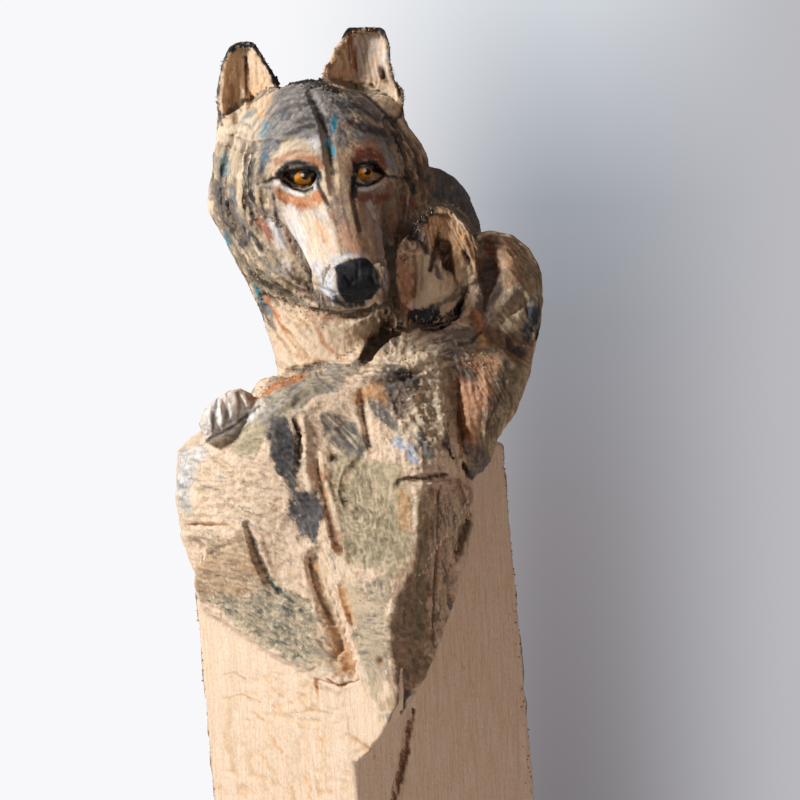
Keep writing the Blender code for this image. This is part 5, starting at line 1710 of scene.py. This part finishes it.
def paintOf(part):
    u, w, front, p = part["u"], part["w"], part["front"], part["points"]
    count = len(u)
    part["rgb"], part["cover"] = np.tile(tone("cream"), (count, 1)), np.zeros(count)
    part["rough"] = noise(p, 7.0, 71) * 3 + noise(p, 2.6, 72) * 1.5
    turn = alongFlow(u, w)
    c, s = np.cos(turn), np.sin(turn)
    part["streaks"] = noise(np.stack([u * c + w * s, w * c - u * s, p[:, 1] * 0.2], 1), (13, 1.9, 9), 73)
    sawn = np.maximum(part["left"], part["right"])
    worked = (part["bark"] < 0.6) & (sawn < 0.5) & part["surface"]
    aside = np.flatnonzero((front < 0.98) & (p[:, 2] > 440) & worked)
    if len(aside):
        s, z = part["s"][aside], p[aside, 2]
        reachUp = smooth(*painting["backFrom"], z + 40 * noise(p[aside], (20, 20, 60), 83))
        reachUp = reachUp * (1 - front[aside])
        uneven = (1 + 0.25 * noise(p[aside], (14, 14, 40), 84))[:, None]
        lay(part, aside, meanTone(backColours) * uneven, reachUp * painting["backGround"])
        for seed, cover, sizes in painting["backLayers"]:
            one = dabs(s, z, alongLog, *sizes, seed, loose=0.9)
            amount = smooth(0.0, 0.8, one[:, 0]) * (one[:, 1] < cover) * reachUp
            lay(part, aside, mixed(backColours, one[:, 2], one[:, 1]), amount * painting["backDab"])
    for number, (cover, size, shares, *outline) in enumerate(patches.values()):
        layPatch(part, number, cover, size, shares, places(outline))
    for width, colour, strength, *path in strokes:
        layStroke(part, width, colour, strength, places(path))
    for n, (spacing, reachOut, depth, colour, strength, *path) in enumerate(combs):
        near, band, wave = combed(part, places(path), spacing, reachOut, n)
        if len(near):
            amount = strength * painting["combs"] * band * smooth(0.0, 0.9, -wave) * front[near]
            lay(part, near, tone(colour), amount)
    nose = nearby(part, noseOutline, 6)
    if len(nose):
        amount = smooth(1.2, -1.2, insideOutline(noseOutline, u[nose], w[nose]) + 0.4 * part["rough"][nose])
        shine = 1 + 1.6 * np.maximum(noise(p[nose], 3.2, 75), 0)
        lay(part, nose, tone("black") * shine[:, None], amount * front[nose])
    # the pits are painted darker, as painted shade, and the paint is worn off the ridges
    pitShade, lift = smooth(-0.05, -1.0, part["fine"]), smooth(0.1, 0.9, part["fine"])
    painted = smooth(0.1, 0.6, part["cover"])
    part["rgb"] *= (1 - painting["pitShade"] * pitShade)[:, None]
    part["cover"] *= 1 - painting["lift"] * lift * smooth(0.05, 0.16, part["rgb"].mean(1))
    # painted shade: bare wood in the pits gets a darker tan
    shadedPits = pitShade * (1 - painted) * front * (1 - sawn)
    everywhere = np.arange(count)
    lay(part, everywhere, tone("tan") * 0.75, painting["pitShadeOnBareWood"] * shadedPits)
    lay(part, everywhere, tone("honey"), painting["toothHoney"] * smooth(0.05, 0.5, part["teeth"]))
    smudge = smooth(-0.5, 0.6, noise(p, (11, 11, 70), 85) + 0.4 * noise(p, (5, 5, 26), 86))
    lay(part, everywhere, tone("sand"), painting["smudge"] * smudge * part["left"])
    dark = tone("barkDark") * (1 + 0.4 * noise(p, (6, 6, 20), 77))[:, None]
    pale = tone("barkPale") * (1 + 0.5 * noise(p, (8, 8, 26), 78) + 0.2 * noise(p, (40, 40, 80), 79))[:, None]
    deep = part["fissure"][:, None]
    lay(part, everywhere, dark * deep + pale * (1 - deep), part["bark"] * painting["bark"])
    part["paint"] = np.concatenate([part["rgb"], part["cover"][:, None]], 1)


for part in carved:
    paintOf(part)
print("painted")

# Finish

def node(tree, kind, inputs=(), **settings):
    made = tree.nodes.new(kind)
    for name, value in settings.items():
        setattr(made, name, value)
    for name, value in dict(inputs).items():
        socket = made.inputs[name]
        if isinstance(value, bpy.types.NodeSocket):
            tree.links.new(value, socket)
        else:
            socket.default_value = value
    return made


def ramp(tree, fac, stops):
    made = node(tree, "ShaderNodeValToRGB", {"Fac": fac})
    row = made.color_ramp.elements
    while len(row) < len(stops):
        row.new(0.5)
    for element, (at, colour) in zip(row, stops):
        element.position = at
        element.color = (*colour, 1)
    return made.outputs["Color"]


def mottle(tree, at, scale, detail, rough):
    given = {"Vector": at, "Scale": scale, "Detail": detail, "Roughness": rough}
    return node(tree, "ShaderNodeTexNoise", given).outputs["Fac"]


def stretched(tree, at, scale):
    return node(tree, "ShaderNodeMapping", {"Vector": at, "Scale": scale}).outputs["Vector"]


def blended(tree, share, first, second, way="MIX"):
    # 6 and 7 are the two colours of a mix node, 2 is its colour result
    given = {"Factor": share, 6: first, 7: second}
    return node(tree, "ShaderNodeMix", given, data_type="RGBA", blend_type=way).outputs[2]


def ranged(tree, value, low, high, way="LINEAR"):
    given = {"Value": value, "From Min": low, "From Max": high}
    return node(tree, "ShaderNodeMapRange", given, interpolation_type=way).outputs["Result"]


# mottles are (scale, detail, roughness), bumps are (distance in metres, strength)
wood = {
    "pale": linear(240, 214, 186, 0.83), "warm": linear(226, 190, 154, 0.83),
    "roughness": 0.78, "specular": 0.3,
    "stretch": (150.0, 150.0, 4.0), "grain": (3.0, 5.0, 0.6), "grainBump": (0.0005, 0.6),
    "fibreStretch": (520.0, 520.0, 240.0), "fibre": (1.0, 3.0, 0.6), "dustDark": (0.66, 0.58, 0.52),
    "dustPale": (1.1, 1.1, 1.1), "dust": 0.36, "paintEdge": (520.0, 4.0, 0.7), "paintCover": (0.25, 0.75),
    "fuzz": (330.0, 3.0, 0.7), "fuzzBump": (0.0013, 0.7),
}


def limewood():
    made = bpy.data.materials.new("carved_limewood")
    made.use_nodes = True
    tree = made.node_tree
    tree.nodes.clear()
    at = node(tree, "ShaderNodeTexCoord").outputs["Object"]
    grain = mottle(tree, stretched(tree, at, wood["stretch"]), *wood["grain"])
    colour = ramp(tree, grain, [(0.3, wood["warm"]), (0.6, wood["pale"])])
    # paint thins out into the grain at its edges
    paint = node(tree, "ShaderNodeAttribute", attribute_name="paint").outputs
    fine = mottle(tree, at, *wood["paintEdge"])
    edge = node(tree, "ShaderNodeMath", {0: fine, 1: 0.9, 2: -0.45}, operation="MULTIPLY_ADD").outputs[0]
    cover = node(tree, "ShaderNodeMath", {0: paint["Alpha"], 1: edge}, operation="ADD").outputs[0]
    colour = blended(tree, ranged(tree, cover, *wood["paintCover"]), colour, paint["Color"])
    fibre = mottle(tree, stretched(tree, at, wood["fibreStretch"]), *wood["fibre"])
    dust = ramp(tree, fibre, [(0.32, wood["dustDark"]), (0.5, (1, 1, 1)), (0.7, wood["dustPale"])])
    colour = blended(tree, wood["dust"], colour, dust, "MULTIPLY")
    given = {"Base Color": colour, "Roughness": wood["roughness"], "Specular IOR Level": wood["specular"]}
    for height, bump in ((grain, "grainBump"), (mottle(tree, at, *wood["fuzz"]), "fuzzBump")):
        rise = {"Height": height, "Distance": wood[bump][0], "Strength": wood[bump][1]}
        if "Normal" in given:
            rise["Normal"] = given["Normal"]
        given["Normal"] = node(tree, "ShaderNodeBump", rise).outputs["Normal"]
    shader = node(tree, "ShaderNodeBsdfPrincipled", given)
    node(tree, "ShaderNodeOutputMaterial", {"Surface": shader.outputs["BSDF"]})
    return made


def stand(name, data):
    made = bpy.data.objects.new(name, data)
    bpy.context.scene.collection.objects.link(made)
    return made


def claim(made):
    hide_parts("wolf_pair_carving")
    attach(made, "root")


def paintPoints(data, colours):
    layer = data.attributes.new("paint", "FLOAT_COLOR", "POINT")
    layer.data.foreach_set("color", colours.astype(np.float32).ravel())


def meshPiece(part):
    points, faces, caps = part["points"], part["faces"], part["caps"]
    data = bpy.data.meshes.new(part["name"])
    corners = np.concatenate([faces.ravel(), caps.ravel()])
    starts = np.concatenate([np.arange(len(faces)) * 4, 4 * len(faces) + np.arange(len(caps)) * 3])
    data.vertices.add(len(points))
    data.vertices.foreach_set("co", (points * 0.001).astype(np.float32).ravel())
    data.loops.add(len(corners))
    data.loops.foreach_set("vertex_index", corners.astype(np.int32))
    data.polygons.add(len(starts))
    data.polygons.foreach_set("loop_start", starts.astype(np.int32))
    data.update(calc_edges=True)
    data.shade_smooth()
    # the cut faces inside stay flat, so that the finish runs on from piece to piece
    edgeOf = np.empty(len(corners), np.int32)
    data.loops.foreach_get("edge_index", edgeOf)
    onCap = np.bincount(edgeOf[4 * len(faces):], minlength=len(data.edges))
    onFace = np.bincount(edgeOf[:4 * len(faces)], minlength=len(data.edges))
    sharp = data.attributes.new("sharp_edge", "BOOLEAN", "EDGE")
    sharp.data.foreach_set("value", (onCap > 0) & (onFace > 0))
    paintPoints(data, part["paint"])
    data.materials.append(finish)
    claim(stand(part["name"], data))


finish = limewood()
for part in carved:
    meshPiece(part)
print("pieces made")

# Painted eyes: shallow domes over the carved eyeballs. Outlines and middles are in front view.
eyes = {
    # amber is the lit iris; shaded, towards its top, is painted shade under the lid; light is the glint, a
    # painted highlight
    "size": (18.6, 16.2, 15.2), "around": 96, "rings": 56, "glintWide": 1.7, "roughness": 0.25,
    "coat": 0.4, "coatRoughness": 0.08, "amber": linear(255, 172, 26, 1.1), "shaded": linear(168, 96, 22),
    "light": linear(245, 248, 255, 1.2),
    "left": {"side": -1, "iris": (-81.4, 780.8), "wide": 8.2, "pupil": (-78.8, 784.4), "pupilWide": 4.2,
             "glint": (-81.6, 785.0), "lids": places([-102,786, -95.5,792, -85.5,792.5, -73,790, -68.5,782,
                                                      -69.5,775, -79,770.5, -91,773.5, -98,780])},
    "right": {"side": 1, "iris": (-18.5, 786.0), "wide": 7.2, "pupil": (-16.6, 788.4), "pupilWide": 3.6,
              "glint": (-19.4, 789.4), "lids": places([-29,792, -20,796, -12,794, -1,785, -9.6,779.6,
                                                       -18,776, -25.5,775.5, -29.5,780])},
}


def domeFaces(start):
    # one point at each end, rings of points between
    n, faces = eyes["around"], []
    for i in range(eyes["rings"]):
        for j in range(n):
            k = (j + 1) % n
            a, b = start + 1 + (i - 1) * n, start + 1 + i * n
            if i == 0:
                faces.append([start, b + j, b + k][::-1])
            elif i == eyes["rings"] - 1:
                faces.append([a + j, a + k, a + n][::-1])
            else:
                faces.append([a + j, b + j, b + k, a + k])
    return faces


def eyePaint(eye, p):
    u, w = seen(p)

    def away(name):
        return np.hypot(u - eye[name][0], w - eye[name][1])
    across, up = u - eye["iris"][0], w - eye["iris"][1]
    rays = np.stack([np.arctan2(up, across) * 9, away("iris") * 0.3, u * 0], 1)
    streak = 0.5 + 0.5 * noise(rays, 1.0, 5)
    # painted shade: the iris turns from amber to the shaded colour towards its top, under the upper lid
    low = smooth(1, 9, up + 0.4 * across)[:, None]
    amber = np.array(eyes["amber"]) * (1 - low) + np.array(eyes["shaded"]) * low
    colour = np.tile(tone("darkBrown"), (len(p), 1)) * 0.4
    # laid in turn: dark ring, iris, pupil, the glint as a painted highlight, black lids
    for shape, value in (
            (smooth(0.9, -0.5, away("iris") - eye["wide"] - 1.6), tone("black")),
            (smooth(0.6, -0.6, away("iris") - eye["wide"]), amber * (0.75 + 0.4 * streak[:, None])),
            (smooth(0.5, -0.5, away("pupil") - eye["pupilWide"]), tone("black") * 0.5),
            (smooth(0.4, -0.4, away("glint") - eyes["glintWide"]), np.array(eyes["light"])),
            (smooth(-0.6, 0.6, insideOutline(eye["lids"], u, w)), tone("black") * 0.8)):
        colour = colour * (1 - shape[:, None]) + value * shape[:, None]
    return np.c_[colour, np.ones(len(p))]


def eyeDomes():
    axes, middle = headFrame()
    rings, n = eyes["rings"], eyes["around"]
    points, faces, paint = [], [], []
    for eye in (eyes["left"], eyes["right"]):
        own = []
        for i in range(rings + 1):
            for j in range(1 if i in (0, rings) else n):
                t, a = pi * i / rings, 2 * pi * j / n
                own.append((sin(t) * cos(a), -cos(t), sin(t) * sin(a)))
        own = np.array(own) * eyes["size"] + [upperHead["eyeApart"] * eye["side"], 3, -0.5]
        own = own @ axes.T + middle
        faces += domeFaces(len(points))
        points += own.tolist()
        paint.append(eyePaint(eye, own))
    data = bpy.data.meshes.new("upper_wolf_eyes")
    data.from_pydata((np.array(points) * 0.001).tolist(), [], faces)
    data.shade_smooth()
    paintPoints(data, np.concatenate(paint))
    glaze = bpy.data.materials.new("painted_eye")
    glaze.use_nodes = True
    tree = glaze.node_tree
    shader = tree.nodes["Principled BSDF"]
    colour = node(tree, "ShaderNodeAttribute", attribute_name="paint").outputs["Color"]
    tree.links.new(colour, shader.inputs["Base Color"])
    shader.inputs["Roughness"].default_value = eyes["roughness"]
    shader.inputs["Coat Weight"].default_value = eyes["coat"]
    shader.inputs["Coat Roughness"].default_value = eyes["coatRoughness"]
    data.materials.append(glaze)
    claim(stand("upper_wolf_eyes", data))


eyeDomes()
print("eyes made")

# Splinters, fibres and crumbs: small pieces that stand on the carving along lines in front view.
# Each line: how far they stray from it, their colours, its places.
bits = {
    "ear_splinters": {
        "shape": "fibre", "thick": 0.6, "long": (1.2, 3.4), "spread": 1.1, "gap": 2.2, "rows": 2, "seed": 3,
        "lines": [
            (2.5, ("charcoal", "soot", "cream"), -166,850, -167,872, -162,898, -146,914, -130,915, -118,898,
             -106,878),
            (2.5, ("charcoal", "cream", "honey"), -64,882, -58,893, -47,905, -41,920, -24,930, -4,930),
            (2.5, ("darkBrown", "cream"), 9,896, 12,880, 19,877, 21,858, 14,842)]},
    "lower_ear_fringe": {
        "shape": "fibre", "thick": 0.6, "long": (2.0, 6.0), "spread": 0.9, "gap": 1.4, "rows": 3, "seed": 5,
        "lines": [
            (4.0, ("cream", "sand", "honey"), 14,720, 20,714, 26,706),
            (4.0, ("cream", "charcoal"), 14,704, 22,698),
            (2.0, ("charcoal", "soot", "sand"), 30,728, 36,742, 48,750)]},
    "torn_shoulder_strip": {
        "shape": "fibre", "thick": 0.8, "long": (1.6, 4.6), "spread": 1.1, "gap": 1.6, "rows": 3, "seed": 7,
        "lines": [
            (4.0, ("orange", "honey", "peach"), -128,562, -116,574, -100,582, -86,586, -76,588)]},
    "forehead_tuft": {
        "shape": "crumb", "thick": 1.6, "long": (1.2, 3.6), "spread": 1.0, "gap": 1.5, "rows": 5, "seed": 9,
        "lines": [
            (4.0, ("soot", "charcoal", "darkBrown"), -106,876, -96,881, -86,880, -76,882, -68,878),
            (3.0, ("soot", "charcoal"), -84,884, -80,887),
            (3.0, ("charcoal", "greyBrown"), -66,876, -58,872, -46,870)]},
    "fur_crumbs": {
        "shape": "crumb", "thick": 1.1, "long": (0.6, 1.9), "spread": 1.0, "gap": 2.6, "rows": 4, "seed": 11,
        "lines": [
            (10.0, ("charcoal", "grey", "sand"), -140,690, -118,670, -94,656, -70,650),
            (18.0, ("cream", "sand", "honey", "greyBrown"), 30,640, 40,600, 30,560, 20,530),
            (9.0, ("cream", "honey"), 78,600, 96,598, 110,600)]},
    "bark_shreds": {
        "shape": "fibre", "thick": 1.1, "long": (1.0, 3.2), "spread": 1.8, "gap": 9.0, "rows": 2, "seed": 13,
        "lines": [
            (4.0, ("brown", "tan", "sand"), -205,380, -194,320, -188,270, -182,220, -180,160, -180,60),
            (4.0, ("brown", "tan", "sand"), 122,500, 131,420, 134,310, 139,270, 142,220, 148,160, 152,60)]},
}


def nearestOnCarving(wanted):
    # the carving's point that is seen nearest to each place in front, and the way it faces
    def whole(name):
        return np.concatenate([part[name][part["surface"]] for part in carved])
    u, w, points, out = whole("u"), whole("w"), whole("points"), whole("out")
    use = np.flatnonzero(whole("front") > 0.2)
    best = [use[np.argmin((u[use] - a) ** 2 + (w[use] - b) ** 2)] for a, b in wanted]
    return points[best], out[best]


def bitsTree(setup):
    tree = bpy.data.node_groups.new("bits_" + setup["shape"], "GeometryNodeTree")
    face = tree.interface
    face.new_socket("Places", in_out="INPUT", socket_type="NodeSocketGeometry")
    for name in ("Thickness", "Shortest", "Longest", "Spread"):
        face.new_socket(name, in_out="INPUT", socket_type="NodeSocketFloat")
    face.new_socket("Seed", in_out="INPUT", socket_type="NodeSocketInt")
    face.new_socket("Bits", in_out="OUTPUT", socket_type="NodeSocketGeometry")
    given = tree.nodes.new("NodeGroupInput").outputs
    if setup["shape"] == "fibre":
        shape = node(tree, "GeometryNodeMeshCone", {
            "Vertices": 5, "Radius Top": 0.1, "Radius Bottom": 1.0, "Depth": 1.0})
    else:
        shape = node(tree, "GeometryNodeMeshIcoSphere", {"Radius": 1.0, "Subdivisions": 1})
    # each bit leans by chance off the way the surface faces
    lean = node(tree, "FunctionNodeRandomValue", {
        "Min": (-1, -1, -1), "Max": (1, 1, 1), "Seed": given["Seed"]},
        data_type="FLOAT_VECTOR").outputs["Value"]
    lean = node(tree, "ShaderNodeVectorMath", {0: lean, "Scale": given["Spread"]},
                operation="SCALE").outputs["Vector"]
    out = node(tree, "GeometryNodeInputNamedAttribute", {"Name": "out"},
               data_type="FLOAT_VECTOR").outputs["Attribute"]
    way = node(tree, "ShaderNodeVectorMath", {0: out, 1: lean}, operation="ADD").outputs["Vector"]
    turn = node(tree, "FunctionNodeAlignRotationToVector", {"Vector": way}, axis="Z").outputs["Rotation"]
    long = node(tree, "FunctionNodeRandomValue", {
        2: given["Shortest"], 3: given["Longest"], "Seed": given["Seed"]}, data_type="FLOAT").outputs[1]
    size = node(tree, "ShaderNodeCombineXYZ", {
        "X": given["Thickness"], "Y": given["Thickness"], "Z": long}).outputs["Vector"]
    placed = node(tree, "GeometryNodeInstanceOnPoints", {
        "Points": given["Places"], "Instance": shape.outputs["Mesh"], "Rotation": turn, "Scale": size})
    real = node(tree, "GeometryNodeRealizeInstances", {"Geometry": placed.outputs["Instances"]})
    named = node(tree, "GeometryNodeSetMaterial", {"Geometry": real.outputs["Geometry"], "Material": finish})
    node(tree, "NodeGroupOutput", {"Bits": named.outputs["Geometry"]})
    return tree


def standBits(name, setup):
    chooser = np.random.default_rng(setup["seed"])
    wanted, tones = [], []
    for stray, palette, *path in setup["lines"]:
        for row in range(setup["rows"]):
            for place in spaced(places(path), setup["gap"]):
                wanted.append(place + chooser.normal(0, stray, 2) * 0.6)
                tones.append(tone(palette[chooser.integers(len(palette))]) * chooser.uniform(0.75, 1.1))
    points, out = nearestOnCarving(wanted)
    data = bpy.data.meshes.new(name)
    data.from_pydata(((points - 0.6 * out) * 0.001).tolist(), [], [])
    facing = data.attributes.new("out", "FLOAT_VECTOR", "POINT")
    facing.data.foreach_set("vector", out.astype(np.float32).ravel())
    paintPoints(data, np.c_[np.array(tones), np.ones(len(tones))])
    made = stand(name, data)
    modifier = made.modifiers.new("bits", "NODES")
    modifier.node_group = bitsTree(setup)
    shortest, longest = setup["long"]
    values = {"Thickness": setup["thick"] * 0.001, "Shortest": shortest * 0.001, "Longest": longest * 0.001,
              "Spread": setup["spread"], "Seed": setup["seed"]}
    for socket in modifier.node_group.interface.items_tree:
        if socket.name in values:
            modifier[socket.identifier] = values[socket.name]
    bpy.context.view_layer.update()
    real = bpy.data.meshes.new_from_object(made.evaluated_get(bpy.context.evaluated_depsgraph_get()))
    made.modifiers.clear()
    made.data = real
    print(name, len(real.polygons), "faces")
    claim(made)


for name, setup in bits.items():
    standBits(name, setup)
print("splinters and crumbs stand")

# Floor, light and camera. The surroundings go by the direction looked in: pale on the left, greyer on the
# right with stops from low to high, another grey at the far right, and one colour where the viewer stands.
# The greyer right, darkest low down, is a painted shadow of the carving on a wall behind it.
# "spans" are where each of these changes, as parts of that direction (across, back or up).
studio = {
    "floorRadius": 0.98, "floor": linear(225, 224, 226), "shownWidth": 0.8,
    "key": {"at": (-2.4, -1.15, 1.75), "size": 0.7, "power": 120.0, "colour": (0.97, 1.0, 1.03)},
    "fill": {"at": (1.6, -2.3, 1.1), "size": 1.6, "power": 10.0, "colour": (1.0, 0.84, 0.76)},
    "left": linear(248, 248, 250), "farRight": linear(186, 186, 191), "around": linear(212, 196, 192, 0.28),
    # the right: a painted shadow of the carving on a wall, from low to high
    "right": [(0.0, linear(124, 120, 124)), (0.35, linear(138, 134, 138)), (0.6, linear(146, 147, 154)),
              (0.75, linear(158, 162, 170)), (1.0, linear(208, 213, 219))],
    "spans": {"height": (-0.15, 0.15), "farRight": (0.06, 0.16), "across": (-0.055, 0.06),
              "back": (0.9, 0.97)},
    "lit": (0, 0, 0.6),
}


def lamp(name, at, size, power, colour):
    made = stand(name, bpy.data.lights.new(name, "AREA"))
    made.data.color = colour
    made.data.shape = "DISK"
    made.data.size = size
    made.data.energy = power
    made.location = at
    made.rotation_euler = (Vector(studio["lit"]) - Vector(at)).to_track_quat("-Z", "Y").to_euler()


def floorDisc():
    n, radius = 96, studio["floorRadius"]
    around = [(cos(a) * radius, sin(a) * radius) for a in np.linspace(0, 2 * pi, n + 1)[:-1]]
    corners = [(x, y, z) for z in (0, -0.02) for x, y in around]
    faces = [list(range(n)), list(range(2 * n - 1, n - 1, -1))]
    faces += [[i, i + n, (i + 1) % n + n, (i + 1) % n] for i in range(n)]
    data = bpy.data.meshes.new("studio_floor")
    data.from_pydata(corners, [], faces)
    matt = bpy.data.materials.new("studio_floor")
    matt.use_nodes = True
    shader = matt.node_tree.nodes["Principled BSDF"]
    shader.inputs["Base Color"].default_value = (*studio["floor"], 1)
    shader.inputs["Roughness"].default_value = 0.9
    data.materials.append(matt)
    stand("studio_floor", data)


def surroundings():
    world = bpy.data.worlds.new("studio")
    bpy.context.scene.world = world
    world.use_nodes = True
    tree = world.node_tree
    tree.nodes.clear()
    looked = node(tree, "ShaderNodeTexCoord").outputs["Generated"]
    way = node(tree, "ShaderNodeSeparateXYZ", {"Vector": looked}).outputs
    spans = studio["spans"]
    right = ramp(tree, ranged(tree, way["Z"], *spans["height"]), studio["right"])
    edge = ranged(tree, way["X"], *spans["farRight"], "SMOOTHSTEP")
    right = blended(tree, edge, right, (*studio["farRight"], 1))
    across = ranged(tree, way["X"], *spans["across"], "SMOOTHSTEP")
    front = blended(tree, across, (*studio["left"], 1), right)
    both = blended(tree, ranged(tree, way["Y"], *spans["back"]), (*studio["around"], 1), front)
    back = node(tree, "ShaderNodeBackground", {"Color": both, "Strength": 1.0})
    node(tree, "ShaderNodeOutputWorld", {"Surface": back.outputs["Background"]})


def camera():
    made = stand("camera", bpy.data.cameras.new("camera"))
    far = viewer["distance"] * 0.001
    made.data.sensor_width = 36
    made.data.lens = 36 * far / studio["shownWidth"]
    made.location = (viewer["aside"] * 0.001, -far, viewer["up"] * 0.001)
    made.rotation_euler = (pi / 2, 0, 0)
    bpy.context.scene.camera = made


lamp("key_light", **studio["key"])
lamp("fill_light", **studio["fill"])
floorDisc()
surroundings()
camera()
bpy.context.scene.view_settings.view_transform = "Standard"
print("lights and camera set")
